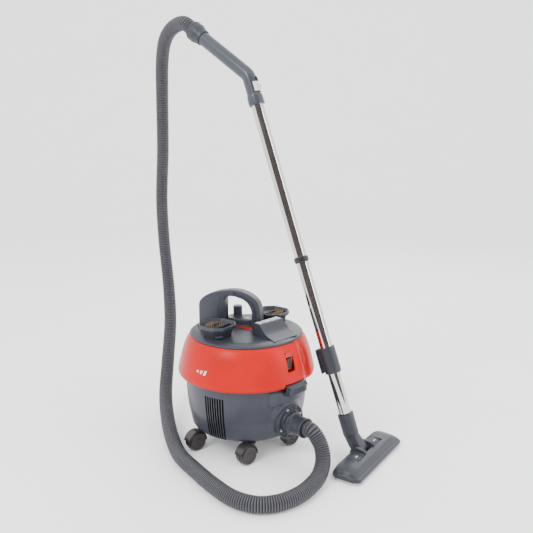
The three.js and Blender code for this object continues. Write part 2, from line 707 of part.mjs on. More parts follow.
function nozzleBody() {
  const half = NOZZLE_LONG / 2;
  const front = NOZZLE_FRONT;
  const base = plate(roundedRectangle(-half, half, front, NOZZLE_BACK, 14), 6.3, 20);
  const top = plate(roundedRectangle(-half + 8, half - 8, front + 10, NOZZLE_BACK - 4, 12), 19,
    NOZZLE_TOP - 4);
  const cheeks = block([-30, -16, 18], [30, NOZZLE_BACK - 2, NOZZLE_TOP + 6]);
  const cradle = block([-TRUNNION_HALF - 0.5, -8, 9], [TRUNNION_HALF + 0.5, 60, 60]);
  const duct = block([-15, -33, 9], [15, 0, 18]);
  const pin = crosswise(PIN_R + GAP, -29, 29, PIVOT_Y, PIVOT_Z, 12);
  const pedals = [-1, 1].map((side) => {
    const x = side * PEDAL_AT;
    return block([x - 17, -13, 14], [x + 17, 24, 40]);
  });
  return shaped(base, [top, cheeks], [...nozzleRoom(), cradle, duct, pin, ...pedals]);
}

const nozzle = station(wandFoot, [0, 0]);
piece(nozzle, 'nozzle_body', nozzleBody(), GREY);

function nozzleSole() {
  const half = NOZZLE_LONG / 2 - 3;
  const sole = plate(roundedRectangle(-half, half, NOZZLE_FRONT + 2, NOZZLE_BACK - 2, 12), 0, 6);
  return shaped(sole, [], nozzleRoom());
}

piece(nozzle, 'nozzle_sole', nozzleSole(), STEEL);
piece(nozzle, 'nozzle_pin', crosswise(PIN_R, -28.5, 28.5, PIVOT_Y, PIVOT_Z, 12), STEEL);

['front_brush_strip', 'rear_brush_strip'].forEach((name, i) => {
  const row = STRIP_ROWS[i];
  const strip = block([-STRIP_HALF_LONG, row - 2, 1.5], [STRIP_HALF_LONG, row + 2, 10.5]);
  piece(nozzle, name, strip, RUBBER);
});

['left', 'right'].forEach((side, i) => {
  const x = (i === 0 ? -1 : 1) * PEDAL_AT;
  const profile = [[-12, 17.6], [23, 17.6], [23, 29.5], [8, 31.5], [-12, 28.5]];
  const pedal = along(profile, -16, 16).translate(x, 0, 0);
  piece(nozzle, `${side}_pedal`, pedal, DARK);
  const [rollerX, rollerY, rollerZ] = ROLLER_AT;
  const centre = (i === 0 ? -1 : 1) * rollerX;
  piece(nozzle, `${side}_roller`, crosswise(ROLLER_R, centre - 7.5, centre + 7.5, rollerY,
    rollerZ, 16), RUBBER);
});

export default machine;
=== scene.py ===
import json
import math
import random

import bmesh
import bpy
from mathutils import Matrix, Vector


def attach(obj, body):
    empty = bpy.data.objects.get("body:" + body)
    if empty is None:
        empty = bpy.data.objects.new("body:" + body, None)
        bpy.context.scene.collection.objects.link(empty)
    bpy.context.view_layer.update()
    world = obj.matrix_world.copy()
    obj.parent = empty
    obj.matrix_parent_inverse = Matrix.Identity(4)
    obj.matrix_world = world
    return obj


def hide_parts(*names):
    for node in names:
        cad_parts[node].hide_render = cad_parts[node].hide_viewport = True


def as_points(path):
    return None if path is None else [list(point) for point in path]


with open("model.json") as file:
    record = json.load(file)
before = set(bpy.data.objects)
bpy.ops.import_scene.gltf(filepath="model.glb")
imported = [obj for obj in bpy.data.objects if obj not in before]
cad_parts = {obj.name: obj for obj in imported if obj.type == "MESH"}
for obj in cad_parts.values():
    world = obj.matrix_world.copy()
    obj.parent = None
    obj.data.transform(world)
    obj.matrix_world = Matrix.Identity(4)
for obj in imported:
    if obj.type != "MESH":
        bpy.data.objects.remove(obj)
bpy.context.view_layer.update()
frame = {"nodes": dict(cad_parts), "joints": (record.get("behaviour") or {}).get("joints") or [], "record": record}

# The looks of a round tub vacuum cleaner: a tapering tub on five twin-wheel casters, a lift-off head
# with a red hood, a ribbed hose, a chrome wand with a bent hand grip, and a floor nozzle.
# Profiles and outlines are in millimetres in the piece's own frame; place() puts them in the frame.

MM = 0.001
rad = math.radians


def spin(degrees, axis="Z"):
    return Matrix.Rotation(rad(degrees), 4, axis)


def shift(x=0.0, y=0.0, z=0.0):
    return Matrix.Translation((x * MM, y * MM, z * MM))


JOINTS = {joint["name"]: joint for joint in frame["joints"]}
AXIS_X, AXIS_Y, _ = JOINTS["rotor_spin"]["pos_m"]
CANISTER_TURN = 44
INLET_Z = 101
CANISTER = Matrix.Translation((AXIS_X, AXIS_Y, 0)) @ spin(CANISTER_TURN)
UPRIGHT = Matrix.Translation((AXIS_X, AXIS_Y, 0))

NOZZLE_TURN = 56.5
PIVOT_Y, PIVOT_Z = 14, 24
NECK_Y, NECK_Z = 57.7, 105
WAND_LEAN = 19.3
PIVOT = Vector(JOINTS["nozzle_tilt"]["pos_m"])
NOZZLE = (Matrix.Translation((PIVOT.x, PIVOT.y, 0)) @ spin(NOZZLE_TURN) @ shift(0, -PIVOT_Y))
WAND = NOZZLE @ shift(0, NECK_Y, NECK_Z) @ spin(-WAND_LEAN, "X")

JOINT_AT = 423
CLIP_AT = 150
WAND_TOP = 845
CORNER_AT = 901.7
GRIP_BEND = 36.2
GRIP_RUN = 218
CUFF = (WAND @ shift(0, math.sin(rad(GRIP_BEND)) * GRIP_RUN,
                     CORNER_AT + math.cos(rad(GRIP_BEND)) * GRIP_RUN) @ spin(-GRIP_BEND, "X"))


# ---- camera ---------------------------------------------------------------------------------

CAMERA_PITCH = 12.05
LENS = 43.9

camera = bpy.data.objects.new("camera", bpy.data.cameras.new("camera"))
camera.data.lens = LENS
camera.data.sensor_width = 36
camera.location = (-0.0622, -1.6155, 0.826)
camera.rotation_euler = (rad(90 - CAMERA_PITCH), 0, 0)
bpy.context.scene.collection.objects.link(camera)
bpy.context.scene.camera = camera


# ---- node groups ----------------------------------------------------------------------------

def new_group(name, inputs, outputs):
    group = bpy.data.node_groups.new(name, "ShaderNodeTree")
    for label, kind, value in inputs:
        socket = group.interface.new_socket(label, in_out="INPUT", socket_type=kind)
        socket.default_value = value
    for label, kind in outputs:
        group.interface.new_socket(label, in_out="OUTPUT", socket_type=kind)
    start = group.nodes.new("NodeGroupInput")
    end = group.nodes.new("NodeGroupOutput")
    return group, start, end


FLOAT, COLOUR = "NodeSocketFloat", "NodeSocketColor"


def noise(tree, scale, detail=3.0, vector=None):
    node = tree.nodes.new("ShaderNodeTexNoise")
    node.inputs["Detail"].default_value = detail
    if isinstance(scale, (int, float)):
        node.inputs["Scale"].default_value = scale
    else:
        tree.links.new(scale, node.inputs["Scale"])
    if vector is None:
        vector = tree.nodes.new("ShaderNodeTexCoord").outputs["Object"]
    tree.links.new(vector, node.inputs["Vector"])
    return node.outputs["Fac"]


def blended(tree, factor, low, high):
    """low to high as factor goes from 0 to 1."""
    node = tree.nodes.new("ShaderNodeMapRange")
    tree.links.new(factor, node.inputs["Value"])
    for label, value in (("To Min", low), ("To Max", high)):
        if isinstance(value, (int, float)):
            node.inputs[label].default_value = value
        else:
            tree.links.new(value, node.inputs[label])
    return node.outputs["Result"]


def window(tree, factor, start, end):
    """0 below start, 1 above end."""
    node = tree.nodes.new("ShaderNodeMapRange")
    node.interpolation_type = "SMOOTHSTEP"
    node.inputs["From Min"].default_value = start
    node.inputs["From Max"].default_value = end
    tree.links.new(factor, node.inputs["Value"])
    return node.outputs["Result"]


def combined(tree, operation, first, second):
    node = tree.nodes.new("ShaderNodeMath")
    node.operation = operation
    for i, value in enumerate((first, second)):
        if isinstance(value, (int, float)):
            node.inputs[i].default_value = value
        else:
            tree.links.new(value, node.inputs[i])
    return node.outputs[0]


def stretched(tree, x, y, z):
    """Object coordinates, scaled unevenly, so that noise runs out in streaks."""
    mapping = tree.nodes.new("ShaderNodeMapping")
    mapping.inputs["Scale"].default_value = (x, y, z)
    coordinates = tree.nodes.new("ShaderNodeTexCoord")
    tree.links.new(coordinates.outputs["Object"], mapping.inputs["Vector"])
    return mapping.outputs["Vector"]


def make_grain():
    """The fine spark-eroded grain of a moulding."""
    group, start, end = new_group("moulded_grain", [("Scale", FLOAT, 900.0)],
                                  [("Height", FLOAT)])
    fine = noise(group, start.outputs["Scale"], 2.0)
    cells = group.nodes.new("ShaderNodeTexVoronoi")
    group.links.new(start.outputs["Scale"], cells.inputs["Scale"])
    coordinates = group.nodes.new("ShaderNodeTexCoord")
    group.links.new(coordinates.outputs["Object"], cells.inputs["Vector"])
    height = combined(group, "ADD", combined(group, "MULTIPLY", fine, 0.6),
                      combined(group, "MULTIPLY", cells.outputs["Distance"], 0.4))
    group.links.new(height, end.inputs["Height"])
    return group


def make_marks():
    """Soft smudges and a few fine rubbed streaks, as a mask."""
    group, start, end = new_group("handling_marks", [("Streaks", FLOAT, 0.5)],
                                  [("Mask", FLOAT)])
    smudge = window(group, noise(group, 14.0, 4.0), 0.5, 0.72)
    streak = noise(group, 60.0, 2.0, stretched(group, 1.0, 1.4, 9.0))
    rubbed = combined(group, "MULTIPLY", window(group, streak, 0.62, 0.74),
                      start.outputs["Streaks"])
    mask = combined(group, "MAXIMUM", combined(group, "MULTIPLY", smudge, 0.7), rubbed)
    group.links.new(mask, end.inputs["Mask"])
    return group


def make_wear():
    """Edges that hands and floors have rubbed, as a mask."""
    group, start, end = new_group("edge_wear", [("Amount", FLOAT, 1.0)], [("Mask", FLOAT)])
    geometry = group.nodes.new("ShaderNodeNewGeometry")
    edge = window(group, geometry.outputs["Pointiness"], 0.515, 0.58)
    broken = window(group, noise(group, 120.0, 4.0), 0.42, 0.62)
    worn = combined(group, "MULTIPLY", combined(group, "MULTIPLY", edge, broken),
                    start.outputs["Amount"])
    group.links.new(worn, end.inputs["Mask"])
    return group


def make_tint():
    """A colour that drifts a little over the surface, and pales where it is worn."""
    inputs = [("Colour", COLOUR, (0.1, 0.1, 0.1, 1)), ("Deep", COLOUR, (0.1, 0.1, 0.1, 1)),
              ("Worn", COLOUR, (0.2, 0.2, 0.2, 1)), ("Wear", FLOAT, 0.0)]
    group, start, end = new_group("drifting_tint", inputs, [("Colour", COLOUR)])
    drift = mixed(group, window(group, noise(group, 9.0, 5.0), 0.3, 0.7),
                  start.outputs["Colour"], start.outputs["Deep"])
    pale = mixed(group, start.outputs["Wear"], drift, start.outputs["Worn"])
    group.links.new(pale, end.inputs["Colour"])
    return group


def mixed(tree, factor, first, second):
    node = tree.nodes.new("ShaderNodeMix")
    node.data_type = "RGBA"
    tree.links.new(factor, node.inputs["Factor"])
    for label, value in (("A", first), ("B", second)):
        socket = [s for s in node.inputs if s.name == label and s.type == "RGBA"][0]
        if isinstance(value, tuple):
            socket.default_value = value
        else:
            tree.links.new(value, socket)
    return [s for s in node.outputs if s.type == "RGBA"][0]


GRAIN, MARKS, WEAR, TINT = make_grain(), make_marks(), make_wear(), make_tint()


# ---- materials ------------------------------------------------------------------------------

def placed_group(material, group, **values):
    node = material.node_tree.nodes.new("ShaderNodeGroup")
    node.node_tree = group
    for label, value in values.items():
        if isinstance(value, bpy.types.NodeSocket):
            material.node_tree.links.new(value, node.inputs[label])
        else:
            node.inputs[label].default_value = value
    return node


def rgba(colour, factor=1.0):
    return tuple(min(1.0, channel * factor) for channel in colour) + (1.0,)


def surface(name, colour, rough, grain=900.0, depth=0.05, metal=0.0, coat=0.0, worn=1.5,
            wear=0.6, spread=0.1, specular=0.4, sheen=0.0):
    """A finish with drifting colour, handled patches, worn edges and a fine grain."""
    material = bpy.data.materials.new(name)
    material.use_nodes = True
    tree = material.node_tree
    shader = tree.nodes["Principled BSDF"]
    marks = placed_group(material, MARKS).outputs["Mask"]
    edges = placed_group(material, WEAR, Amount=wear).outputs["Mask"]
    tint = placed_group(material, TINT, Colour=rgba(colour), Deep=rgba(colour, 0.86),
                        Worn=rgba(colour, worn), Wear=edges)
    height = placed_group(material, GRAIN, Scale=grain).outputs["Height"]
    bump = tree.nodes.new("ShaderNodeBump")
    bump.inputs["Strength"].default_value = depth
    bump.inputs["Distance"].default_value = 0.0004
    tree.links.new(height, bump.inputs["Height"])
    tree.links.new(tint.outputs["Colour"], shader.inputs["Base Color"])
    tree.links.new(blended(tree, marks, rough, rough + spread), shader.inputs["Roughness"])
    tree.links.new(bump.outputs["Normal"], shader.inputs["Normal"])
    shader.inputs["Metallic"].default_value = metal
    shader.inputs["Coat Weight"].default_value = coat
    shader.inputs["Coat Roughness"].default_value = 0.25
    shader.inputs["Specular IOR Level"].default_value = specular
    shader.inputs["Sheen Weight"].default_value = sheen
    return material


GREY = (0.022, 0.025, 0.035)
RED = (0.44, 0.003, 0.001)
M_GREY = surface("grey_moulding", GREY, 0.42, depth=0.16)
M_TUB = surface("tub_moulding", (0.028, 0.03, 0.044), 0.36, depth=0.12, spread=0.14)
M_GRIP = surface("grip_moulding", (0.034, 0.039, 0.052), 0.3, depth=0.08)
M_RED = surface("red_moulding", RED, 0.34, grain=1100.0, depth=0.05, worn=1.15, wear=0.35,
                specular=0.16)
# A darker copy of the hood red for the switch recess walls: painted shade in the recess.
M_RECESS_SHADE = surface("red_recess_shade", (0.36, 0.005, 0.003), 0.38, worn=1.2, wear=0.3)
M_DARK = surface("dark_moulding", (0.011, 0.012, 0.014), 0.45, depth=0.2)
M_SLOT_SHADOW = surface("slot_shadow", (0.004, 0.004, 0.005), 0.7)
M_HOSE = surface("hose_plastic", (0.05, 0.05, 0.062), 0.4, grain=700.0, depth=0.1, spread=0.16)
# A darker copy of the hose plastic for the rib troughs: painted shade in the creases between the ribs.
M_VALLEY_SHADE = surface("hose_valley_shade", (0.016, 0.016, 0.02), 0.55, grain=700.0, depth=0.1)
M_CASTER = surface("caster_nylon", (0.024, 0.02, 0.022), 0.3, depth=0.1, worn=2.2, wear=0.9)
M_CHROME = surface("polished_chrome", (0.6, 0.58, 0.57), 0.05, grain=300.0, depth=0.01, metal=1.0,
                   spread=0.1, wear=0.0)
M_STEEL = surface("zinc_steel", (0.5, 0.5, 0.51), 0.28, grain=500.0, depth=0.1, metal=1.0)
M_RUBBER = surface("black_rubber", (0.012, 0.012, 0.013), 0.7, depth=0.3)
M_PAPER = surface("filter_paper", (0.6, 0.53, 0.41), 0.9, grain=420.0, depth=0.5, sheen=0.2)
M_BRISTLE = surface("bristle_hair", (0.24, 0.15, 0.08), 0.55, grain=1500.0, depth=0.2)
M_COPPER = surface("copper_winding", (0.5, 0.2, 0.1), 0.35, grain=500.0, depth=0.3, metal=1.0)
M_WHITE = surface("white_print", (0.6, 0.6, 0.6), 0.35, worn=1.0)
# Pale print; on the console it also stands in for the highlight on the flat top.
M_PRINT_AND_HIGHLIGHT = surface("pale_print_and_highlight", (0.5, 0.5, 0.54), 0.5, worn=1.0)

SLOT_MATERIALS = {
    "grey_plastic": M_GREY, "red_plastic": M_RED, "dark_plastic": M_DARK,
    "hose_plastic": M_HOSE, "caster_plastic": M_CASTER, "chrome": M_CHROME, "steel": M_STEEL,
    "rubber": M_RUBBER, "filter_paper": M_PAPER, "bristle": M_BRISTLE, "copper": M_COPPER,
    "white_plastic": M_WHITE,
}
for entry in frame["record"]["subparts"]:
    node_mesh = frame["nodes"][entry["node"]].data
    node_mesh.materials.clear()
    node_mesh.materials.append(SLOT_MATERIALS[entry["material_slot"]])


# ---- making meshes --------------------------------------------------------------------------

def made(name, points, faces, place=Matrix(), sharp=38):
    """An object from points in millimetres, moved into the frame and shaded smooth."""
    mesh = bpy.data.meshes.new(name)
    mesh.from_pydata([Vector(point) * MM for point in points], [], faces)
    mesh.transform(place)
    tidy = bmesh.new()
    tidy.from_mesh(mesh)
    bmesh.ops.remove_doubles(tidy, verts=tidy.verts, dist=2e-6)
    bmesh.ops.recalc_face_normals(tidy, faces=tidy.faces)
    tidy.to_mesh(mesh)
    tidy.free()
    mesh.shade_smooth()
    mesh.set_sharp_from_angle(angle=rad(sharp))
    thing = bpy.data.objects.new(name, mesh)
    bpy.context.scene.collection.objects.link(thing)
    return thing


def piece(thing, body, slot, material, *nodes):
    """thing moves with a body, wears a material and stands for the CAD nodes."""
    if not thing.data.materials:
        thing.data.materials.append(material)
    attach(thing, body)
    if nodes:
        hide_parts(*nodes)
    return thing


def softened(thing, width, segments=2, angle=32):
    """Rounds the sharp edges of a piece."""
    bevel = thing.modifiers.new("edges", "BEVEL")
    bevel.width = width * MM
    bevel.segments = segments
    bevel.limit_method = "ANGLE"
    bevel.angle_limit = rad(angle)
    bevel.harden_normals = True
    return thing


def joined(name, things):
    """One object from several."""
    whole = bmesh.new()
    for thing in things:
        depsgraph = bpy.context.evaluated_depsgraph_get()
        shaped = thing.evaluated_get(depsgraph).to_mesh()
        whole.from_mesh(shaped)
        bpy.data.objects.remove(thing)
    mesh = bpy.data.meshes.new(name)
    whole.to_mesh(mesh)
    whole.free()
    mesh.set_sharp_from_angle(angle=rad(38))
    result = bpy.data.objects.new(name, mesh)
    bpy.context.scene.collection.objects.link(result)
    return result


def cut(thing, tools):
    """thing with the tools' solids taken away."""
    for tool in tools:
        bool_cut = thing.modifiers.new("cut", "BOOLEAN")
        bool_cut.object = tool
        bool_cut.solver = "EXACT"
    shaped = joined(thing.name + "_cut", [thing])
    for tool in tools:
        bpy.data.objects.remove(tool)
    return shaped


def rounded(points, radius, steps=3, closed=False):
    """A polyline with its corners rounded. A point may carry its own radius third."""
    result = []
    count = len(points)
    for i, point in enumerate(points):
        here = Vector(point[:2])
        own = point[2] if len(point) > 2 else radius
        if not closed and i in (0, count - 1) or own == 0:
            result.append(here)
            continue
        before = Vector(points[i - 1][:2]) - here
        after = Vector(points[(i + 1) % count][:2]) - here
        reach = min(own, before.length * 0.49, after.length * 0.49)
        start = here + before.normalized() * reach
        end = here + after.normalized() * reach
        for step in range(steps + 1):
            t = step / steps
            result.append(start * (1 - t) ** 2 + here * 2 * t * (1 - t) + end * t ** 2)
    return result


def turned(name, profile, place=Matrix(), sides=72, closed=False, sharp=38):
    """A turned piece about Z from radius and height pairs."""
    points = []
    rings = []
    for radius, height in profile:
        if radius < 1e-6:
            rings.append([len(points)])
            points.append((0, 0, height))
            continue
        rings.append(list(range(len(points), len(points) + sides)))
        for i in range(sides):
            angle = 2 * math.pi * i / sides
            points.append((radius * math.cos(angle), radius * math.sin(angle), height))
    pairs = list(zip(rings, rings[1:]))
    if closed:
        pairs.append((rings[-1], rings[0]))
    faces = []
    for low, high in pairs:
        for i in range(sides):
            j = (i + 1) % sides
            if len(low) == 1 and len(high) == 1:
                continue
            if len(low) == 1:
                faces.append((low[0], high[i], high[j]))
            elif len(high) == 1:
                faces.append((low[i], low[j], high[0]))
            else:
                faces.append((low[i], low[j], high[j], high[i]))
    return made(name, points, faces, place, sharp)


def lofted(name, sections, place=Matrix(), capped=True, sharp=38, closed=False):
    """A skin over sections that each have the same number of points."""
    count = len(sections[0])
    points = [point for section in sections for point in section]
    faces = []
    spans = len(sections) if closed else len(sections) - 1
    for s in range(spans):
        low = s * count
        high = (s + 1) % len(sections) * count
        for i in range(count):
            j = (i + 1) % count
            faces.append((low + i, low + j, high + j, high + i))
    if capped and not closed:
        faces.append(tuple(range(count)))
        faces.append(tuple(range(len(points) - count, len(points))))
    return made(name, points, faces, place, sharp)


def raised(name, outline, low, high, place=Matrix(), sharp=38):
    """An outline in X and Y, raised from low to high."""
    return lofted(name, [[(x, y, low) for x, y in outline], [(x, y, high) for x, y in outline]],
                  place, sharp=sharp)


def along_x(name, outline, low, high, place=Matrix(), sharp=38):
    """An outline in Y and Z, run along X."""
    return lofted(name, [[(low, y, z) for y, z in outline], [(high, y, z) for y, z in outline]],
                  place, sharp=sharp)


def along_y(name, outline, low, high, place=Matrix(), sharp=38):
    """An outline in X and Z, run along Y."""
    return lofted(name, [[(x, low, z) for x, z in outline], [(x, high, z) for x, z in outline]],
                  place, sharp=sharp)


def slab(name, low, high, place=Matrix()):
    outline = [(low[0], low[1]), (high[0], low[1]), (high[0], high[1]), (low[0], high[1])]
    return raised(name, outline, low[2], high[2], place)


def swept(name, path, radii, sides, place=Matrix(), capped=True, sharp=60):
    """A round tube along points, with a radius at each, turned as little as possible."""
    points = [Vector(point) for point in path]
    count = len(points)
    up = Vector((0.0, 0.0, 1.0))
    heading = (points[1] - points[0]).normalized()
    if abs(heading.dot(up)) > 0.95:
        up = Vector((1.0, 0.0, 0.0))
    side = heading.cross(up).normalized()
    sections = []
    for i, point in enumerate(points):
        ahead = points[min(i + 1, count - 1)] - points[max(i - 1, 0)]
        heading = ahead.normalized()
        side = (side - heading * side.dot(heading)).normalized()
        other = heading.cross(side)
        section = []
        for k in range(sides):
            angle = 2 * math.pi * k / sides
            section.append(point + (side * math.cos(angle) + other * math.sin(angle)) * radii[i])
        sections.append(section)
    return lofted(name, sections, place, capped, sharp)


def smooth(start, end, value):
    """0 at start, 1 at end, eased."""
    t = min(1.0, max(0.0, (value - start) / (end - start)))
    return t * t * (3 - 2 * t)


def bump_between(low, high, ease, value):
    return smooth(low, low + ease, value) * (1 - smooth(high - ease, high, value))


def profile_at(profile, z):
    """The profile's radius at a height."""
    for (r0, z0), (r1, z1) in zip(profile, profile[1:]):
        if z0 <= z <= z1:
            return r0 + (r1 - r0) * (z - z0) / (z1 - z0)
    return profile[-1][0]


def wrapped(name, turns, rows, where, inside, place, sharp=30):
    """A shell round Z: the outside from where(turn, row), closed by the inside's turned profile.

    Turns are degrees from -Y towards +X, and rows are heights.
    """
    points = []
    faces = []
    count = len(turns)
    line = [(None, row) for row in rows] + [(point, None) for point in inside]
    for point, row in line:
        for turn in turns:
            radius, height = where(turn, row) if point is None else point
            points.append((radius * math.sin(rad(turn)), -radius * math.cos(rad(turn)), height))
    for r in range(len(line)):
        nxt = (r + 1) % len(line)
        for i in range(count):
            j = (i + 1) % count
            faces.append((r * count + i, r * count + j, nxt * count + j, nxt * count + i))
    return made(name, points, faces, place, sharp)


def turns_with(fine, step=2.5):
    """Turns all the way round, with closer ones over the fine stretches (low, high, step)."""
    turns = set()
    turn = -180.0
    while turn < 180 - 1e-9:
        turns.add(round(turn, 4))
        turn += step
    for low, high, close in fine:
        turns = {t for t in turns if not low < t < high}
        spots = max(1, round((high - low) / close))
        turns |= {round(low + (high - low) * i / spots, 4) for i in range(spots + 1)}
    return sorted(turns)


# ---- hose -----------------------------------------------------------------------------------

HOSE_R = 19.25
RIB_PITCH = 5.4
RIB_DEPTH = 2.4
HOSE_SIDES = 28
CONNECTOR_END = 218
# The same route as in the design, in metres: over the top, down behind, round the front.
HOSE_ROUTE = [
    (-0.317, 0.266, 1.096), (-0.352, 0.334, 1.069), (-0.370, 0.386, 1.015),
    (-0.380, 0.430, 0.920), (-0.388, 0.459, 0.757), (-0.397, 0.463, 0.600),
    (-0.393, 0.456, 0.470), (-0.377, 0.420, 0.320), (-0.366, 0.356, 0.225),
    (-0.363, 0.266, 0.135), (-0.356, 0.160, 0.066), (-0.335, 0.056, 0.034),
    (-0.310, -0.032, 0.021), (-0.279, -0.117, 0.020), (-0.232, -0.190, 0.020),
    (-0.184, -0.257, 0.020), (-0.136, -0.310, 0.020), (-0.089, -0.333, 0.020),
    (-0.043, -0.330, 0.020), (0.001, -0.305, 0.020), (0.037, -0.263, 0.020),
    (0.063, -0.217, 0.025), (0.074, -0.180, 0.044), (0.069, -0.159, 0.072),
]


def through(points, spacing):
    """Even steps along a centripetal Catmull-Rom curve through the points."""
    first = points[0] * 2 - points[1]
    last = points[-1] * 2 - points[-2]
    run = [first, *points, last]
    fine = []
    for p0, p1, p2, p3 in zip(run, run[1:], run[2:], run[3:]):
        t1 = (p1 - p0).length ** 0.5
        t2 = t1 + (p2 - p1).length ** 0.5
        t3 = t2 + (p3 - p2).length ** 0.5
        for step in range(40):
            t = t1 + (t2 - t1) * step / 40
            a1 = p0 * ((t1 - t) / t1) + p1 * (t / t1)
            a2 = p1 * ((t2 - t) / (t2 - t1)) + p2 * ((t - t1) / (t2 - t1))
            a3 = p2 * ((t3 - t) / (t3 - t2)) + p3 * ((t - t2) / (t3 - t2))
            b1 = a1 * ((t2 - t) / t2) + a2 * (t / t2)
            b2 = a2 * ((t3 - t) / (t3 - t1)) + a3 * ((t - t1) / (t3 - t1))
            fine.append(b1 * ((t2 - t) / (t2 - t1)) + b2 * ((t - t1) / (t2 - t1)))
    fine.append(points[-1])
    lengths = [0.0]
    for a, b in zip(fine, fine[1:]):
        lengths.append(lengths[-1] + (b - a).length)
    total = lengths[-1]
    count = round(total / spacing)
    even = []
    k = 0
    for i in range(count + 1):
        target = total * i / count
        while k < len(lengths) - 2 and lengths[k + 1] < target:
            k += 1
        share = (target - lengths[k]) / (lengths[k + 1] - lengths[k])
        even.append(fine[k].lerp(fine[k + 1], share))
    return even, total


def make_hose():
    start = CUFF @ Vector((0, 0, 0.0003))
    lead = CUFF @ Vector((0, 0, 0.030))
    rise = CANISTER @ Vector((0, -(CONNECTOR_END + 20) * MM, INLET_Z * MM))
    end = CANISTER @ Vector((0, -(CONNECTOR_END + 0.3) * MM, INLET_Z * MM))
    route = [start, lead, *(Vector(point) for point in HOSE_ROUTE), rise, end]
    steps = 4
    path, length = through(route, RIB_PITCH * MM / steps)
    crest, trough = HOSE_R, HOSE_R - RIB_DEPTH
    shape = [trough, crest - 0.25, crest, crest - 0.25]
    radii = [shape[i % steps] for i in range(len(path))]
    hose = swept("ribbed_hose", [point * 1000 for point in path], radii, HOSE_SIDES)
    hose.data.materials.append(M_HOSE)
    hose.data.materials.append(M_VALLEY_SHADE)
    # The trough faces take the darker valley material, painted shade between the ribs.
    for face in hose.data.polygons:
        if face.index // HOSE_SIDES % steps in (0, steps - 1):
            face.material_index = 1
    piece(hose, "canister", "hose_plastic", M_HOSE, "hose")
    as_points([tuple(point) for point in path[::8]] +
            [tuple(path[-1])])


make_hose()


# ---- tub ------------------------------------------------------------------------------------

LATCH_TURN = CANISTER_TURN + 1
LATCH_HALF = 31
TUB_OUTSIDE = [(111, 53), (118, 53.4), (126, 54), (133, 54.6), (139, 56.6), (143.4, 60.4),
               (146, 65), (147, 71), (150.6, 90), (154.5, 109), (157, 130), (159, 154),
               (159.8, 176), (160, 188), (160.2, 193), (166, 193.6), (166.6, 195.5),
               (166, 197.7)]
SLOT_TURN = -29
SLOT_COUNT = 8
SLOT_PITCH = 2.56
SLOT_HALF = 0.8
SLOT_DEPTH = 5
SLOT_FOOT, SLOT_HEAD = 59, 173


def slot_edges():
    first = SLOT_TURN - SLOT_PITCH * (SLOT_COUNT - 1) / 2
    return [(first + SLOT_PITCH * i - SLOT_HALF, first + SLOT_PITCH * i + SLOT_HALF)
            for i in range(SLOT_COUNT)]


def in_slot(turn, z):
    return (SLOT_FOOT <= z <= SLOT_HEAD
            and any(low - 1e-6 <= turn <= high + 1e-6 for low, high in slot_edges()))


def pad_height(turn, z):
    """The raised pads behind the two latches."""
    height = 0.0
    for middle in (LATCH_TURN, LATCH_TURN - 180):
        across = bump_between(middle - 24, middle + 24, 0.8, turn)
        height = max(height, across * bump_between(151, 192, 3, z))
    return 4.2 * height


def boss_height(turn, z):
    """The swelling behind the inlet flange."""
    off = math.hypot((turn - CANISTER_TURN) * rad(1) * 154, z - INLET_Z)
    return 5 * (1 - smooth(44, 62, off))


def tub_surface(turn, z):
    radius = profile_at(TUB_OUTSIDE, z)
    if z < 193:
        radius += max(pad_height(turn, z), boss_height(turn, z) if z > 72 else 0)
    return (radius - SLOT_DEPTH if in_slot(turn, z) else radius), z


def make_tub():
    edges = slot_edges()
    turns = set(turns_with([(LATCH_TURN - 27, LATCH_TURN + 27, 1.0),
                            (LATCH_TURN - 207, LATCH_TURN - 153 - 0.5, 1.0)]))
    turns = {t for t in turns if not edges[0][0] - 1 < t < edges[-1][1] + 1}
    for low, high in edges:
        turns |= {round(t, 4) for t in (low - 0.07, low, (low + high) / 2, high, high + 0.07)}
    rows = {z for _, z in TUB_OUTSIDE} | set(range(74, 193, 4)) | {149.5, 151, 152.5, 154}
    rows |= {SLOT_FOOT - 0.4, SLOT_FOOT, SLOT_HEAD, SLOT_HEAD + 0.4}
    inside = [(156.5, 197.7), (156.5, 190), (154, 150), (149, 104), (143, 74), (136, 62),
              (126, 57), (111, 56.5)]
    tub = wrapped("tub_shell", sorted(turns), sorted(rows), tub_surface, inside, UPRIGHT)
    floor = raised("tub_floor", [(112 * math.cos(rad(3.6 * i)), 112 * math.sin(rad(3.6 * i)))
                                 for i in range(100)], 53, 56.5, UPRIGHT)
    tub = joined("tub_wall", [tub, floor])
    tub.data.materials.append(M_TUB)
    tub.data.materials.append(M_SLOT_SHADOW)
    # Faces sunk inside the vent slots take the near-black slot material: painted shadow in the slots.
    for face in tub.data.polygons:
        spot = UPRIGHT.inverted() @ face.center * 1000
        turn = math.degrees(math.atan2(spot.x, -spot.y))
        radius = math.hypot(spot.x, spot.y)
        deep = radius < profile_at(TUB_OUTSIDE, spot.z) - 1.2
        if deep and edges[0][0] - 0.2 < turn < edges[-1][1] + 0.2 and spot.z > SLOT_FOOT - 0.5:
            face.material_index = 1
    piece(tub, "canister", "grey_plastic", M_TUB, "tub")


make_tub()


# ---- inlet ----------------------------------------------------------------------------------

INLET = CANISTER @ shift(0, 0, INLET_Z) @ spin(90, "X")
FLANGE_FACE = 167


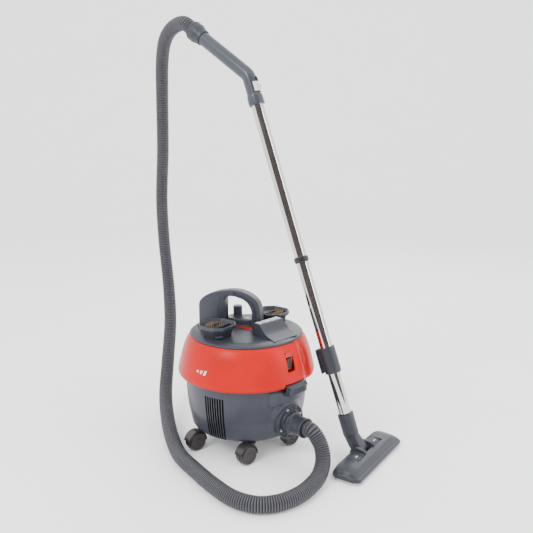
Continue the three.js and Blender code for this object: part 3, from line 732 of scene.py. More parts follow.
def make_inlet():
    face = FLANGE_FACE
    profile = rounded([(23.6, 132), (45, 132), (45, face - 1, 2), (41.5, face - 1, 1),
                       (40.5, face - 2.2, 1), (33, face - 2.2, 1), (32, face + 3, 1.5),
                       (25.4, face + 3, 1)], 1, closed=True)
    flange = turned("flange_disc", profile, INLET, closed=True)
    ribs = []
    for turn in (65, 245):
        rib = slab("rib", (-3, 31, face - 3), (3, 43, face - 0.4), INLET @ spin(turn - 90))
        ribs.append(softened(rib, 0.8))
    piece(joined("inlet_plate", [flange, *ribs]), "canister", "grey_plastic", M_GREY,
          "inlet_flange")
    for i in range(4):
        angle = rad(20 + 90 * i)
        spot = INLET @ shift(36 * math.cos(angle), 36 * math.sin(angle), face - 2)
        head = rounded([(0, 3.3, 0), (2.2, 3.2), (4, 1.6), (4, -2, 0), (0, -2, 0)], 0.8)
        screw = turned("screw", head, spot, 24)
        slots = [slab("slot", (-2.4, -0.45, 2), (2.4, 0.45, 5), spot @ spin(turn + 20))
                 for turn in (0, 90)]
        screw = cut(screw, slots)
        screw.name = f"flange_screw_head_{i + 1}"
        piece(screw, "canister", "steel", M_STEEL, f"flange_screw_{i + 1}")


def make_connector():
    face = FLANGE_FACE + 3.3
    profile = rounded([(17, 142), (22.5, 142), (22.5, face), (29.4, face, 1), (29.4, face + 7, 2),
                       (26, face + 10.5, 2), (24.2, face + 13, 2), (24.2, CONNECTOR_END - 9, 1),
                       (25.2, CONNECTOR_END - 7, 1), (25.2, CONNECTOR_END, 1.2),
                       (20.4, CONNECTOR_END, 0.8), (20, CONNECTOR_END - 12, 1),
                       (17, CONNECTOR_END - 12)], 1, closed=True)
    body = turned("connector", profile, INLET, closed=True)
    lugs = []
    for turn in (0, 180):
        lug = slab("lug", (23, -8, face), (34, 8, face + 6), INLET @ spin(turn))
        lugs.append(softened(lug, 1.5, 3))
    for turn in range(0, 360, 45):
        rib = slab("rib", (23.6, -0.9, face + 10), (25.3, 0.9, face + 24), INLET @ spin(turn + 22))
        lugs.append(softened(rib, 0.5))
    piece(joined("connector_sleeve", [body, *lugs]), "canister", "grey_plastic", M_GREY,
          "hose_connector")


make_inlet()
make_connector()


# ---- casters --------------------------------------------------------------------------------

WHEEL_R = 25
WHEEL_HALF = 15
CASTER_TRAIL = 18


def caster_place(i):
    """A caster's frame: its stem on Z, its wheels trailing towards -X."""
    stem = Vector(JOINTS[f"caster_{i}_swivel"]["pos_m"])
    roll = JOINTS[f"caster_{i}_roll"]
    wheel = Vector(roll["pos_m"])
    trail = stem - wheel
    turn = math.degrees(math.atan2(trail.y, trail.x))
    return Matrix.Translation((stem.x, stem.y, 0)) @ spin(turn)


def make_caster(i):
    place = caster_place(i)
    axle = place @ shift(-CASTER_TRAIL, 0, WHEEL_R) @ spin(90, "X")
    discs = []
    for side in (1, -1):
        profile = rounded([(0, 14.6, 0), (7, 14.6), (9, 13.8), (19, 14.6, 2), (21.6, 14.9, 1),
                           (22.8, 14.2, 1), (24.9, 11, 2), (24.9, 4.6, 1), (21, 4.2), (0, 4.2, 0)],
                          2)
        profile = [(r, z * side) for r, z in profile]
        discs.append(turned("disc", profile, axle, 56))
    discs.append(turned("axle", [(0, -5), (3, -5), (3, 5), (0, 5)], axle, 20))
    piece(joined(f"caster_{i}_discs", discs), f"wheels_{i}", "caster_plastic", M_CASTER,
          f"caster_wheels_{i}")
    hood = []
    steps = 30
    sections = []
    for k in range(steps + 1):
        angle = rad(-6 + 176 * k / steps)
        sections.append([(math.cos(angle) * r, math.sin(angle) * r, y) for r, y in
                         rounded([(25.7, -13.4), (27.9, -13.4, 1.4), (28.3, -11), (28.3, 11),
                                  (27.9, 13.4, 1.4), (25.7, 13.4)], 1.5, 2, closed=True)])
    hood.append(lofted("cover", sections, axle))
    web = [(26 * math.cos(rad(a)), 26 * math.sin(rad(a))) for a in range(-50, 231, 8)]
    hood.append(raised("web", web, -3.4, 3.4, axle))
    arm = raised("arm", rounded([(-16, 38), (-14, 30), (7, 30, 5), (8.5, 40), (8.5, 51),
                                 (-10, 51), (-16, 48, 4)], 2, closed=True), -3.7, 3.7,
                 place @ spin(90, "X"))
    hood.append(softened(arm, 1.2, 3))
    hood.append(turned("post", [(0, 49.4), (10, 49.4), (10, 51.7), (7.6, 52), (4, 52), (4, 69), (0, 69)],
                       place, 28))
    piece(joined(f"caster_{i}_cover", hood), f"caster_{i}", "caster_plastic", M_CASTER,
          f"caster_fork_{i}")


for number in range(1, 6):
    make_caster(number)


# ---- latches --------------------------------------------------------------------------------

def make_latch(name, turn):
    place = UPRIGHT @ spin(turn)
    side = rounded([(-187.4, 181.5, 2), (-188, 203, 1.2), (-185.5, 207.5, 2), (-169.5, 209.5, 1.2),
                    (-168.6, 204), (-173.5, 203, 1), (-173.5, 190), (-168, 188.2), (-164.4, 186),
                    (-164, 183), (-168, 180)], 1, closed=True)
    lever = softened(along_x("lever", side, -LATCH_HALF, LATCH_HALF, place), 1.4, 3)
    lip = rounded([(-189.6, 198, 1.2), (-189.6, 203.5, 1.2), (-184, 206), (-184, 198)], 0.8,
                  closed=True)
    brow = softened(along_x("brow", lip, -LATCH_HALF, LATCH_HALF, place), 0.8)
    grip = [softened(slab("grip", (x - 0.8, -188.6, 184), (x + 0.8, -186, 196), place), 0.4)
            for x in range(-20, 21, 5)]
    piece(joined(name + "_lever", [lever, brow, *grip]), name, "grey_plastic", M_GREY, name)


make_latch("front_latch", LATCH_TURN)
make_latch("rear_latch", LATCH_TURN + 180)


# ---- hood -----------------------------------------------------------------------------------

HOOD_OUTSIDE = [(172, 199.5), (175.4, 199.8), (177.8, 201.2), (179.3, 203.6), (180, 207),
                (179.8, 211), (178.6, 217), (176.6, 225), (174, 236), (170.8, 249),
                (167, 262), (162.6, 275), (159, 283.5), (155, 291), (151.4, 296.5),
                (147.3, 301)]
SWITCH_TURN = CANISTER_TURN - 1.5
SWITCH_Z = 262
CHANNEL_TURN = 62
NOTCH_HALF = 11.2


def channel_depth(turn, z):
    """The soft groove that runs down the hood beside the switch."""
    width = 4.8
    off = (turn - CHANNEL_TURN) / width
    return 6.0 * math.exp(-off * off) * (0.35 + 0.65 * smooth(300, 270, z))


def hood_surface(turn, z):
    low = 211.2 * bump_between(LATCH_TURN - NOTCH_HALF, LATCH_TURN + NOTCH_HALF, 0.2, turn)
    low = max(low, 211.2 * bump_between(LATCH_TURN - 180 - NOTCH_HALF,
                                        LATCH_TURN - 180 + NOTCH_HALF, 0.2, turn))
    height = max(z, low)
    return profile_at(HOOD_OUTSIDE, height) - channel_depth(turn, height), height


def fine_rows(profile, step):
    rows = {z for _, z in profile}
    low, high = profile[0][1], profile[-1][1]
    count = round((high - low) / step)
    return sorted(rows | {round(low + (high - low) * i / count, 3) for i in range(1, count)})


def recess_tool():
    """The tapered solid that cuts the switch's recess."""
    place = UPRIGHT @ spin(SWITCH_TURN)
    near = rounded([(-14, -26), (12.5, -26), (14, 25), (-13, 27)], 2.5, closed=True)
    far = rounded([(-9, -19.2), (9, -19.2), (9, 9.2), (-9, 9.2)], 1.2, closed=True)
    return lofted("tool", [[(x, -196, SWITCH_Z + z) for x, z in near],
                           [(x * 0.92, -161.5, SWITCH_Z + z * 0.9) for x, z in near],
                           [(x, -159, SWITCH_Z + z) for x, z in far],
                           [(x, -149, SWITCH_Z + z) for x, z in far]], place)


def make_hood():
    turns = turns_with([(CHANNEL_TURN - 14, CHANNEL_TURN + 14, 0.7),
                        (LATCH_TURN - NOTCH_HALF - 0.4, LATCH_TURN - NOTCH_HALF + 0.6, 0.2),
                        (LATCH_TURN - NOTCH_HALF - 180.4, LATCH_TURN - NOTCH_HALF - 179.4, 0.2),
                        (LATCH_TURN + NOTCH_HALF - 180.6, LATCH_TURN + NOTCH_HALF - 179.6, 0.2)],
                       1.5)
    inside = [(144, 300.6), (151.6, 290.5), (159.2, 274.6), (167.4, 248.8), (168.5, 225),
              (168.5, 212), (168.5, 211.2)]
    hood = wrapped("hood_skin", turns, fine_rows(HOOD_OUTSIDE, 4.0), hood_surface, inside,
                   UPRIGHT, 55)
    hood = cut(hood, [recess_tool()])
    hood.name = "hood_shell"
    piece(hood, "head", "red_plastic", M_RED, "hood")


def make_switch():
    place = UPRIGHT @ spin(SWITCH_TURN)
    near = rounded([(-14, -26), (12.5, -26), (14, 25), (-13, 27)], 2.5, closed=True)
    far = rounded([(-9, -19.2), (9, -19.2), (9, 9.2), (-9, 9.2)], 1.2, closed=True)
    box = lofted("switch_pocket", [
        [(x * 0.92, -161.3, SWITCH_Z + z * 0.9) for x, z in near],
        [(x, -158.8, SWITCH_Z + z) for x, z in far],
        [(x, -148, SWITCH_Z + z) for x, z in far]], place, capped=False)
    thick = box.modifiers.new("wall", "SOLIDIFY")
    thick.thickness = 1.0 * MM
    thick.offset = 0
    # The recess walls wear the darker red, painted shade.
    piece(box, "head", "red_plastic", M_RECESS_SHADE, "switch_bezel")
    # The recess's back wall wears the near-black slot material: painted shadow at the back of the switch recess.
    back = slab("switch_back", (-9, -149.5, SWITCH_Z - 18), (9, -147.5, SWITCH_Z + 10), place)
    piece(back, "head", "dark_plastic", M_SLOT_SHADOW)
    y, z = -159.5, SWITCH_Z - 5
    rock = rounded([(y - 4.2, z - 13.2, 2), (y - 1.8, z), (y - 2.6, z + 13.2, 2), (y + 1, z + 11.5),
                    (y + 4, z), (y + 1, z - 11.5)], 1.5, closed=True)
    rocker = softened(along_x("rocker_key", rock, -7.6, 7.6, place), 0.7)
    piece(rocker, "switch", "dark_plastic", M_DARK, "switch_rocker")


def make_emblem():
    """Three slanting bars, printed on the hood."""
    bars = []
    for k, (turn, half) in enumerate(((-42, 2.6), (-38, 4.2), (-34, 5.8))):
        points, faces = [], []
        steps = 8
        for i in range(steps + 1):
            for side in (-1, 1):
                z = 240 - half + 2 * half * i / steps
                across = turn + side * 1.1 + (z - 240) * 0.12
                r = profile_at(HOOD_OUTSIDE, z) + 0.25
                points.append((r * math.sin(rad(across)), -r * math.cos(rad(across)), z))
        faces = [(2 * i, 2 * i + 1, 2 * i + 3, 2 * i + 2) for i in range(steps)]
        bars.append(made(f"bar_{k}", points, faces, UPRIGHT))
    print_mark = joined("hood_emblem", bars)
    thick = print_mark.modifiers.new("ink", "SOLIDIFY")
    thick.thickness = 0.5 * MM
    thick.offset = 0
    piece(print_mark, "head", "white_plastic", M_WHITE)


make_hood()
make_switch()
make_emblem()


# ---- lid and what stands on it --------------------------------------------------------------

LID_TOP = 311
HANDLE = UPRIGHT @ shift(-40, 3) @ spin(-20)
SHELF_TOP = 331


def make_lid():
    profile = rounded([(0, 298, 0), (144, 298, 0), (144.5, 301), (147.4, 302.2, 1),
                       (148, 303.6, 1.2), (145.5, 306.2, 3), (138, 308.6, 5), (128, 311, 8),
                       (0, 311, 0)], 1, 4)
    cap = turned("cap", profile, UPRIGHT, 144)
    shelf_line = rounded([(-26, 17, 3), (50, 17, 8), (50, 60, 12), (-26, 60, 10)], 8, 5,
                         closed=True)
    shelf = softened(raised("shelf", shelf_line, 309, SHELF_TOP, HANDLE), 2.2, 3)
    step = softened(raised("step", [(x * 1.04, y * 1.04 - 1) for x, y in shelf_line], 309, 315.5,
                           HANDLE), 1.2)
    groove = turned("groove", rounded([(126.6, 310.2), (128.2, 310.2), (128.2, 311.2),
                                       (126.6, 311.3)], 0.2, closed=True), UPRIGHT, 144,
                    closed=True)
    lid = joined("lid_cap", [cap, shelf, step, groove])
    piece(lid, "head", "grey_plastic", M_GREY, "lid")
    outline = rounded([(3, 13), (58, -5), (58, 16), (3, 16)], 2, closed=True)
    insert = softened(raised("red_insert", outline, 309, 311.9, HANDLE), 0.5)
    piece(insert, "head", "red_plastic", M_RED)
    lozenge = rounded([(24, 34), (33, 30), (42, 34), (33, 38)], 1.2, closed=True)
    icon = raised("shelf_mark", lozenge, SHELF_TOP - 0.3, SHELF_TOP + 0.15, HANDLE)
    piece(icon, "head", "white_plastic", M_PRINT_AND_HIGHLIGHT)


def handle_line(inner):
    """The arch's outer or inner edge, from the left foot to the right one, in X and Z."""
    if inner:
        return rounded([(-12, 311, 0), (-12, 392, 6), (-2, 399, 10), (14, 400, 12),
                        (47, 391, 18), (63, 368, 14), (64, 311, 0)], 6, 6)
    return rounded([(-87, 311, 0), (-87, 378, 14), (-70, 395, 14), (-34, 410, 22),
                    (6, 417, 26), (36, 415.5, 20), (64, 404, 20), (82, 387, 16),
                    (87.5, 363, 14), (87.5, 311, 0)], 10, 6)


def make_handle():
    outer, inner = handle_line(False), handle_line(True)
    outline = [tuple(p) for p in outer] + [tuple(p) for p in reversed(inner)]
    core = softened(along_y("core", outline, -14, 14, HANDLE), 3.2, 4, 50)
    pieces = [core]
    channel = rounded([(14, 408.5), (50, 399, 14), (71, 383, 12), (76, 361, 10), (76, 313)],
                      12, 5)
    for side in (-1, 1):
        tool_line = ribbon(channel, 3.6)
        tool = along_y("tool", tool_line, side * 11, side * 20, HANDLE)
        pieces[0] = cut(pieces[0], [tool])
    foot = softened(raised("foot", rounded([(-91, -19), (-8, -19), (-8, 19), (-91, 19)], 6, 4,
                                           closed=True), 309, 315, HANDLE), 1.5)
    toe = softened(raised("toe", rounded([(60, -17), (91, -17), (91, 17), (60, 17)], 5, 4,
                                         closed=True), 309, 314.5, HANDLE), 1.5)
    seam = softened(along_y("seam", ribbon(rounded([(-33, 316), (-31, 372, 8), (-22, 404)], 8, 5),
                                           0.7), -14.7, 14.7, HANDLE), 0.4)
    handle = joined("carry_handle", [*pieces, foot, toe, seam])
    piece(handle, "head", "grey_plastic", M_GREY, "handle")


def ribbon(line, half):
    """A band of even width along a line in a plane."""
    left, right = [], []
    for i, point in enumerate(line):
        ahead = Vector(line[min(i + 1, len(line) - 1)]) - Vector(line[max(i - 1, 0)])
        normal = Vector((-ahead.y, ahead.x)).normalized() * half
        left.append(tuple(Vector(point) + normal))
        right.append(tuple(Vector(point) - normal))
    return left + right[::-1]


def make_console():
    place = CANISTER
    profile = rounded([(-56, 309, 0), (-56, 343.2, 3), (-80, 343.2, 3), (-88, 334, 8),
                       (-100, 322, 16), (-122, 314, 18), (-134, 310.6, 0), (-134, 309, 0)], 3, 6)
    wedge = softened(along_x("wedge", profile, -28, 55, place), 2.0, 3, 40)
    piece(wedge, "head", "grey_plastic", M_GREY, "control_console")
    # Pale scale bars printed on the console, made deep enough to cover most of its flat top: partly real print,
    # partly a painted highlight along the top.
    bars = []
    for k in range(7):
        x = -20 + k * 11
        width = 3.0 if k % 3 == 1 else 4.2
        tall = 6.5 if k % 2 else 8.5
        bars.append(slab("bar", (x - width, -69 - tall, 342), (x + width, -69 + tall, 343.9),
                         place))
    strip = joined("console_scale_and_highlight", bars)
    piece(strip, "head", "white_plastic", M_PRINT_AND_HIGHLIGHT)


def make_post():
    place = UPRIGHT @ shift(-24, 45)
    profile = rounded([(0, SHELF_TOP, 0), (13.5, SHELF_TOP, 0), (13, SHELF_TOP + 2), (12.3, 334),
                       (12.3, 359, 1.6), (9.5, 360.3, 1), (8.5, 359.2), (0, 359.2, 0)], 1)
    stem = turned("stem", profile, place, 48)
    stem.name = "tool_peg"
    piece(stem, "head", "grey_plastic", M_GREY, "tool_post")


make_lid()
make_handle()
make_console()
make_post()

TOOL_PLACES = [(-71, -62, 51), (68, 60, 231)]


def octagon(half, corner, height, points_each=3):
    """An eight-sided ring of points with short straight corners."""
    spots = [(half, half - corner), (half - corner, half), (corner - half, half),
             (-half, half - corner), (-half, corner - half), (corner - half, -half),
             (half - corner, -half), (half, corner - half)]
    return [(p.x, p.y, height) for p in rounded(spots, 2.5, points_each, closed=True)]


def make_brush_tool(number, x, y, turn):
    place = UPRIGHT @ shift(x, y) @ spin(turn)
    count = len(octagon(43, 21, 0))

    def circle(radius, z):
        ring = octagon(43, 21, z)
        return [(radius * Vector(p[:2]).normalized().x, radius * Vector(p[:2]).normalized().y, z)
                for p in ring]

    sections = [circle(30, 311.3), circle(35.6, 311.3), circle(36.6, 312.4), circle(36.4, 321),
                circle(38.2, 322.2), circle(38.4, 327), octagon(40, 19, 331.5),
                octagon(42.6, 20.4, 336), octagon(43, 21, 341.2), octagon(42.2, 20.6, 342.2),
                octagon(40.6, 19.8, 342.2), octagon(39.4, 19.2, 341.2), octagon(37.6, 18, 333),
                octagon(36.6, 17.4, 331.4), circle(13.6, 330.6), circle(12.6, 329.6),
                circle(12.4, 312), circle(12.4, 311.3)]
    body = lofted("bowl", sections, place, closed=True, capped=False)
    assert count == len(sections[0])
    tab = softened(slab("tab", (-9, -39.4, 313), (9, -33, 320), place @ spin(-40)), 1.6, 3)
    bars = [softened(slab("bar", (-36, y0 - 0.9, 331), (36, y0 + 0.9, 336.5), place), 0.4)
            for y0 in (-9, 16)]
    tool = joined(f"brush_tool_{number}_bowl", [body, tab, *bars])
    piece(tool, f"brush_tool_{number}", "grey_plastic", M_GREY, f"brush_tool_{number}")
    make_bristles(number, place)


def make_bristles(number, place):
    """Rows of tufts that stand in the bowl, each a bunch of tapered hairs."""
    draw = random.Random(40 + number)
    hairs = bmesh.new()
    for row in range(5):
        for column in range(8):
            x, y = -21 + column * 6.0, row * 6.4
            if math.hypot(x, y) < 14.5 or abs(x) + y > 46:
                continue
            for _ in range(12):
                around = draw.uniform(0, 2 * math.pi)
                off = 1.0 * math.sqrt(draw.random())
                foot = Vector((x + off * math.cos(around), y + off * math.sin(around), 331))
                lean = Vector((draw.uniform(-0.9, 0.9), draw.uniform(-1.4, 0.4), 0))
                tip = foot + lean + Vector((0, 0, 9.5 + draw.uniform(-0.8, 0.8)))
                add_hair(hairs, foot, tip, 0.34)
    mesh = bpy.data.meshes.new(f"brush_tool_{number}_hairs")
    hairs.to_mesh(mesh)
    hairs.free()
    mesh.transform(place @ Matrix.Scale(MM, 4))
    tuft = bpy.data.objects.new(f"brush_tool_{number}_hairs", mesh)
    bpy.context.scene.collection.objects.link(tuft)
    piece(tuft, f"brush_tool_{number}", "bristle", M_BRISTLE, f"bristle_tuft_{number}")


def add_hair(hairs, foot, tip, radius):
    low, high = [], []
    for k in range(3):
        angle = 2 * math.pi * k / 3
        around = Vector((math.cos(angle), math.sin(angle), 0))
        low.append(hairs.verts.new(foot + around * radius))
        high.append(hairs.verts.new(tip + around * radius * 0.5))
    for k in range(3):
        hairs.faces.new((low[k], low[(k + 1) % 3], high[(k + 1) % 3], high[k]))
    hairs.faces.new(high)
    hairs.faces.new(low[::-1])


for index, (tool_x, tool_y, tool_turn) in enumerate(TOOL_PLACES):
    make_brush_tool(index + 1, tool_x, tool_y, tool_turn)


def make_gland():
    place = CANISTER @ shift(0, 0, 232) @ spin(-90, "X")
    profile = rounded([(3.6, 168), (11, 168), (11, 180, 2), (8.6, 182), (7.6, 186), (8, 187),
                       (7, 190), (7.4, 191), (6.2, 196, 1.5), (3.6, 196)], 0.8, closed=True)
    gland = turned("cord_outlet", profile, place, 36, closed=True)
    piece(gland, "head", "dark_plastic", M_RUBBER, "cord_gland")


make_gland()


# ---- wand -----------------------------------------------------------------------------------

TUBE_R = 16
GRIP_R = 18


def make_tubes():
    lower = turned("wand_lower", rounded([(14.5, -22), (TUBE_R, -22), (TUBE_R, JOINT_AT),
                                          (14.5, JOINT_AT)], 0.6, closed=True), WAND, 64,
                   closed=True)
    piece(lower, "lower_wand", "chrome", M_CHROME, "lower_tube")
    profile = [(12.8, JOINT_AT - 38), (14.2, JOINT_AT - 38), (14.2, JOINT_AT + 0.3),
               (TUBE_R, JOINT_AT + 2), (TUBE_R, WAND_TOP), (14.5, WAND_TOP),
               (14.5, JOINT_AT + 3), (12.8, JOINT_AT)]
    upper = turned("wand_upper", profile, WAND, 64, closed=True)
    piece(upper, "upper_wand", "chrome", M_CHROME, "upper_tube")
    top = JOINT_AT
    ring_line = rounded([(16.1, top - 14), (18, top - 14, 1), (18.6, top - 8), (18.6, top - 1.2, 1),
                         (17.6, top, 0.8), (16.1, top)], 0.6, closed=True)
    ring = turned("joint_collar", ring_line, WAND, 48, closed=True)
    piece(ring, "lower_wand", "dark_plastic", M_DARK, "joint_ring")


def grip_point(distance):
    return Vector((0, math.sin(rad(GRIP_BEND)) * distance,
                   CORNER_AT + math.cos(rad(GRIP_BEND)) * distance))


def make_grip():
    start = Vector((0, 0, CORNER_AT - 13))
    corner = Vector((0, 0, CORNER_AT))
    path = [Vector((0, 0, WAND_TOP + 0.3)), Vector((0, 0, CORNER_AT - 26))]
    for k in range(13):
        t = k / 12
        path.append(start * (1 - t) ** 2 + corner * 2 * t * (1 - t) + grip_point(13) * t ** 2)
    path += [grip_point(d) for d in (26, 80, 120, 160, GRIP_RUN - 14, GRIP_RUN - 8)]
    body = swept("tube", path, [GRIP_R] * len(path), 48, WAND)
    collar = turned("collar", rounded([(16.2, 823), (20.6, 823, 1), (21, 826), (20.4, 846, 2),
                                       (18.4, 853, 2), (14.5, 853), (14.5, 846), (16.2, 845)],
                                      0.8, closed=True), WAND, 48, closed=True)
    pads = []
    for side in (-1, 1):
        pad = raised("pad", rounded([(-6.5, 829), (6.5, 829), (6.5, 843), (-6.5, 843)], 2, 3,
                                    closed=True), 18.5, 21.6, WAND @ spin(90, "X")
                     @ spin(90 * side, "Y"))
        pads.append(softened(pad, 0.7))
    tools = [
        slot_tool("vent", -6, 6, 856, 892, -26),
    ]
    body = cut(body, tools)
    rim = softened(lofted("rim", slot_frame(-7.2, 7.2, 854.5, 893.5, 1.6, -18.9, -17), WAND,
                          closed=True), 0.3)
    grip = joined("hand_grip", [body, collar, *pads, rim])
    piece(grip, "upper_wand", "grey_plastic", M_GRIP, "grip_tube")


def slot_tool(name, left, right, low, high, depth):
    """A round-ended slot's solid, cutting into the side that faces -Y."""
    line = rounded([(left, low), (right, low), (right, high), (left, high)], 5.5, 5, closed=True)
    return lofted(name, [[(x, depth, z) for x, z in line], [(x, -14.5, z) for x, z in line]],
                  WAND)


def slot_frame(left, right, low, high, width, front, back):
    """Sections of a thin frame round a slot."""
    outer = rounded([(left, low), (right, low), (right, high), (left, high)], 6, 5, closed=True)
    middle = Vector(((left + right) / 2, (low + high) / 2))
    inner = [p + (middle - p).normalized() * width for p in outer]
    return [[(p[0], front, p[1]) for p in outer], [(p[0], front, p[1]) for p in inner],
            [(p[0], back, p[1]) for p in inner], [(p[0], back, p[1]) for p in outer]]


def make_slider():
    place = WAND
    outline = []
    for k in range(25):
        angle = rad(-134 + 88 * k / 24)
        outline.append((20.9 * math.cos(angle), 20.9 * math.sin(angle)))
    for k in range(25):
        angle = rad(-46 - 88 * k / 24)
        outline.append((18.6 * math.cos(angle), 18.6 * math.sin(angle)))
    sleeve = softened(raised("sleeve", outline, 855, 879, place), 0.8)
    thumb = softened(slab("thumb", (-7, -24.4, 860), (7, -20, 873), place), 1.6, 3)
    ribs = [softened(slab("rib", (-6, -25.1, z - 0.6), (6, -24, z + 0.6), place), 0.3)
            for z in (863, 866.5, 870)]
    piece(joined("vent_slider", [sleeve, thumb, *ribs]), "suction_slider", "white_plastic",
          M_WHITE, "suction_slider")


def make_clip():
    low, high = CLIP_AT - 34, CLIP_AT + 34
    sleeve = turned("sleeve", rounded([(16.4, low), (21, low, 1.2), (21.4, low + 8), (20.8, high - 8),
                                       (20.4, high, 1.2), (16.4, high)], 0.8, closed=True),
                    WAND, 56, closed=True)
    rail = softened(slab("rail", (-7, 19, low + 4), (7, 26, high - 4), WAND), 0.8)
    flange = raised("flange", rounded([(-11, low + 2), (11, low + 2), (11, high - 2),
                                       (-11, high - 2)], 3, 4, closed=True), -30, -26,
                    WAND @ spin(90, "X"))
    catch = softened(slab("catch", (-8, 16, high - 16), (8, 24, high - 3), WAND), 1.2)
    piece(joined("parking_sleeve", [sleeve, rail, softened(flange, 1.0), catch]), "parking_clip",
          "grey_plastic", M_GREY, "parking_clip")


def make_cuff():
    profile = rounded([(18.4, -44), (20.6, -44, 1), (21.6, -35, 3), (24, -27, 2), (25.2, -22, 1),
                       (25.2, -3, 1.4), (23.8, 0, 1), (20, 0), (19.6, -5), (18.4, -6)], 0.8,
                      closed=True)
    cuff = turned("cuff", profile, CUFF, 64, closed=True)
    rings = [turned("band", rounded([(24.6, z - 1), (25.8, z - 0.5), (25.8, z + 0.5),
                                     (24.6, z + 1)], 0.3, closed=True), CUFF, 64, closed=True)
             for z in (-19, -6)]
    piece(joined("swivel_cuff", [cuff, *rings]), "canister", "grey_plastic", M_GREY, "hose_cuff")


make_tubes()
make_grip()
make_slider()
make_clip()
make_cuff()


# ---- floor nozzle ---------------------------------------------------------------------------

def on_wand(distance):
    lean = rad(WAND_LEAN)
    return Vector((0, NECK_Y + math.sin(lean) * distance, NECK_Z + math.cos(lean) * distance))


def make_neck():
    """A round socket, then an elbow that goes from round to a blunt wedge at the pivot."""
    socket = turned("socket", rounded([(12, -50), (19, -50, 1), (20.2, -46), (20.4, 0),
                                       (20.8, 7, 1.2), (16.4, 7), (16.4, -22.4), (12, -22.4)], 1,
                                      closed=True), WAND, 56, closed=True)
    sections = []
    steps = 10
    top, bottom = on_wand(-44), Vector((0, PIVOT_Y, PIVOT_Z))
    knee = on_wand(-60)
    for k in range(steps + 1):
        t = k / steps
        centre = top * (1 - t) ** 2 + knee * 2 * t * (1 - t) + bottom * t ** 2
        heading = ((knee - top) * (1 - t) + (bottom - knee) * t).normalized()
        other = Vector((1, 0, 0)).cross(heading)
        power = 1 - 0.55 * smooth(0.15, 0.9, t)
        wide, deep = 18.4 + 0.4 * t, 18.4 - 3 * smooth(0.3, 1, t)
        section = []
        for i in range(40):
            angle = 2 * math.pi * i / 40
            c, s = math.cos(angle), math.sin(angle)
            x = math.copysign(abs(c) ** power, c) * wide
            y = math.copysign(abs(s) ** power, s) * deep
            section.append(centre + Vector((x, 0, 0)) + other * y)
        sections.append(section)
    elbow = lofted("elbow", sections, NOZZLE)
    seam = turned("seam", rounded([(18, -52), (19.2, -52), (19.2, -50), (18, -50)], 0.3,
                                  closed=True), WAND, 56, closed=True)
    barrel = turned("barrel", rounded([(0, -18.8, 0), (13.8, -18.8, 1), (13.8, 18.8, 1),
                                       (0, 18.8, 0)], 1),
                    NOZZLE @ shift(0, PIVOT_Y, PIVOT_Z) @ spin(90, "Y"), 40)
    piece(joined("swivel_elbow", [socket, elbow, seam, barrel]), "neck", "grey_plastic", M_GREY,
          "neck_elbow")


NOZZLE_HALF = 132
PEDAL_AT = 52


def nozzle_section(x):
    """The nozzle's cross-section in Y and Z at a place along it."""
    off = abs(x) / NOZZLE_HALF
    pull = smooth(0.9, 1.0, off)
    front = -45 + 13 * pull ** 2
    back = 31 - 12 * pull ** 2
    top = 31.5 - 7.5 * smooth(0.72, 1.0, off) - 2 * pull
    lip = 12.5
    line = [(front, 6.3, 1), (front, lip, 2), (front + 3.5, lip + 2.6, 2),
            (front + 8, lip + 3.2, 3), (front + 15, top - 4, 6), (-8, top, 8),
            (back - 8, top - 1.5, 4), (back - 1, top - 9, 4), (back, 6.3, 1)]
    return [(x, p.x, p.y) for p in rounded(line, 1, 3, closed=True)]


def make_nozzle():
    spots = sorted({x * side for x in (0, 12, 24, 36, 48, 60, 72, 84, 95, 104, 112, 118, 122, 126,
                                       129, 131, 132) for side in (-1, 1)})
    body = lofted("body", [nozzle_section(x) for x in spots], NOZZLE, sharp=34)
    tools = [slab("cradle", (-19.6, -9, 8.5), (19.6, 60, 60), NOZZLE)]
    for side in (-1, 1):
        x = side * PEDAL_AT
        tools.append(slab("pocket", (x - 17, -13, 14), (x + 17, 24, 45), NOZZLE))
        end = side * 150
        tools.append(turned("scoop", [(0, 18), (30, 18), (30, 60), (0, 60)],
                            NOZZLE @ shift(end, -12, 0), 48))
        roller = side * 96
        tools.append(slab("roller_room", (roller - 8.5, 12, -2), (roller + 8.5, 40, 17), NOZZLE))
    body = cut(body, tools)
    cheeks = []
    for side in (-1, 1):
        line = rounded([(-18, 24), (-12, 36, 6), (6, 41, 8), (22, 40, 8), (30, 30, 4), (30, 10)],
                       3, 4, closed=True)
        low, high = sorted((side * 20, side * 30))
        cheeks.append(softened(along_x("cheek", line, low, high, NOZZLE), 2.2, 3))
    seam = raised("seam", rounded([(-128, -42), (128, -42), (128, 28), (-128, 28)], 12, 5,
                                  closed=True), 6, 6.6, NOZZLE)
    piece(joined("nozzle_shell", [body, *cheeks, seam]), "nozzle", "grey_plastic", M_GREY,
          "nozzle_body")
    outline = rounded([(-129, -43), (129, -43), (129, 29), (-129, 29)], 12, 5, closed=True)
    sole = raised("sole", outline, 0.1, 6, NOZZLE)
    mouth = [slab("mouth", (-100, -32, -2), (100, -14, 12), NOZZLE)]
    for side in (-1, 1):
        mouth.append(slab("room", (side * 96 - 8.5, 12, -2), (side * 96 + 8.5, 40, 12), NOZZLE))
    for row in (-38, -6):
        mouth.append(slab("gap", (-117, row - 2.5, -2), (117, row + 2.5, 12), NOZZLE))
    sole = softened(cut(sole, mouth), 0.6)
    sole.name = "glide_plate"
    piece(sole, "nozzle", "steel", M_STEEL, "nozzle_sole")


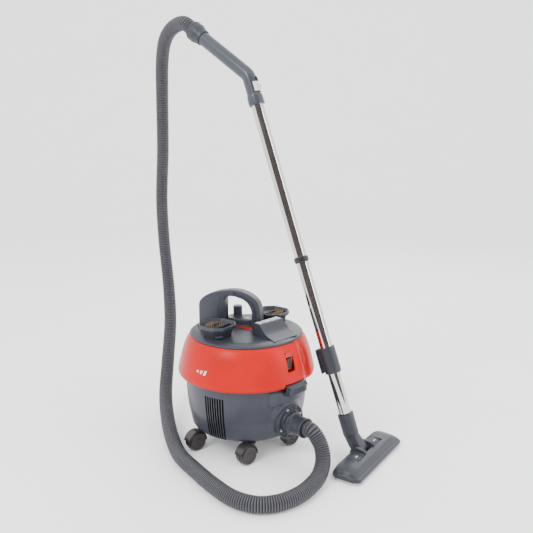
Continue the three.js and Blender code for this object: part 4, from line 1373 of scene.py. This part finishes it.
def make_pedals():
    for name, side in (("left", -1), ("right", 1)):
        x = side * PEDAL_AT
        line = rounded([(-12, 17.8), (-12, 28.2, 2), (6, 31.6, 8), (23, 29.4, 2), (23, 17.8)], 1, 4,
                       closed=True)
        key = softened(along_x("key", line, x - 16, x + 16, NOZZLE), 1.0)
        ridges = [softened(slab("ridge", (x - 13, y - 0.5, 28), (x + 13, y + 0.5, 31.2 - y * 0.04),
                                NOZZLE), 0.3) for y in (13, 16, 19)]
        pedal = joined(f"{name}_rocker_pedal", [key, *ridges])
        piece(pedal, f"{name}_pedal", "dark_plastic", M_GREY, f"{name}_pedal")
        mark = slab(f"{name}_pedal_mark", (x - 5.5, -1.2, 29), (x + 5.5, 1.6, 31.4), NOZZLE)
        piece(softened(mark, 0.3), f"{name}_pedal", "white_plastic", M_WHITE)


def make_strips_and_rollers():
    for name, row in (("front", -38), ("rear", -6)):
        base = slab("base", (-116, row - 2, 6.5), (116, row + 2, 10.5), NOZZLE)
        teeth = [slab("tooth", (x, row - 1.6, 1.5), (x + 3.2, row + 1.6, 7), NOZZLE)
                 for x in range(-115, 113, 4)]
        strip = joined(f"{name}_strip", [base, *teeth])
        piece(strip, "brush_strips", "rubber", M_RUBBER, f"{name}_brush_strip")
    for name, side in (("left", -1), ("right", 1)):
        profile = rounded([(0, -7.4, 0), (6.4, -7.4, 1), (8, -5, 2), (8, 5, 2), (6.4, 7.4, 1),
                           (0, 7.4, 0)], 1)
        place = NOZZLE @ shift(side * 96, 21, 8) @ spin(90, "Y")
        piece(turned(f"{name}_wheel", profile, place, 36), f"{name}_roller", "rubber", M_RUBBER,
              f"{name}_roller")


make_neck()
make_nozzle()
make_pedals()
make_strips_and_rollers()


# ---- stage and light ------------------------------------------------------------------------

def make_stage():
    """A pale floor that sweeps up far behind."""
    points, faces = [], []
    line = [(-3.0, 0.0)] + [(3.2 + 1.8 * math.sin(rad(a)), 1.8 - 1.8 * math.cos(rad(a)))
                            for a in range(0, 91, 6)] + [(5.0, 5.0)]
    for x in (-5.0, 5.0):
        points += [(x * 1000, y * 1000, z * 1000) for y, z in line]
    count = len(line)
    faces = [(i, i + 1, count + i + 1, count + i) for i in range(count - 1)]
    backdrop = made("backdrop", points, faces)
    backdrop.location.z = -0.0005
    material = bpy.data.materials.new("pale_paper")
    material.use_nodes = True
    tree = material.node_tree
    shader = tree.nodes["Principled BSDF"]
    tint = mixed(tree, noise(tree, 3.0), (0.9, 0.9, 0.9, 1), (0.93, 0.93, 0.93, 1))
    tree.links.new(tint, shader.inputs["Base Color"])
    shader.inputs["Roughness"].default_value = 0.9
    backdrop.data.materials.append(material)


def add_light(name, spot, target, size, power, colour=(1, 1, 1)):
    data = bpy.data.lights.new(name, "AREA")
    data.shape = "RECTANGLE"
    data.size, data.size_y = size
    data.energy = power
    data.color = colour
    light = bpy.data.objects.new(name, data)
    light.location = spot
    light.rotation_euler = (Vector(target) - Vector(spot)).to_track_quat("-Z", "Y").to_euler()
    bpy.context.scene.collection.objects.link(light)


def make_light():
    world = bpy.data.worlds.new("studio")
    bpy.context.scene.world = world
    world.use_nodes = True
    background = world.node_tree.nodes["Background"]
    background.inputs["Color"].default_value = (1, 1, 1, 1)
    background.inputs["Strength"].default_value = 2.4
    middle = (-0.05, 0.0, 0.4)
    add_light("key_light", (-1.6, -1.9, 2.3), middle, (1.0, 1.0), 60)
    add_light("fill_light", (2.1, -1.0, 1.3), middle, (0.5, 1.8), 20)
    add_light("rim_light", (0.6, 2.2, 1.9), middle, (1.6, 1.0), 24)


def make_card():
    """A dark card beside the stage, which only the reflections see."""
    card = made("dark_card", [(-3200, 0, -900), (3600, 0, -900), (3600, 0, 3200), (-3200, 0, 3200)],
                [(0, 1, 2, 3)], Matrix.Translation((0, -2.1, 0)))
    material = bpy.data.materials.new("dark_cloth")
    material.use_nodes = True
    tree = material.node_tree
    shader = tree.nodes["Principled BSDF"]
    tint = mixed(tree, noise(tree, 5.0), (0.05, 0.04, 0.04, 1), (0.07, 0.06, 0.06, 1))
    tree.links.new(tint, shader.inputs["Base Color"])
    shader.inputs["Roughness"].default_value = 1.0
    card.data.materials.append(material)
    card.visible_camera = False
    card.visible_diffuse = False
    card.visible_shadow = False


make_stage()
make_card()
make_light()
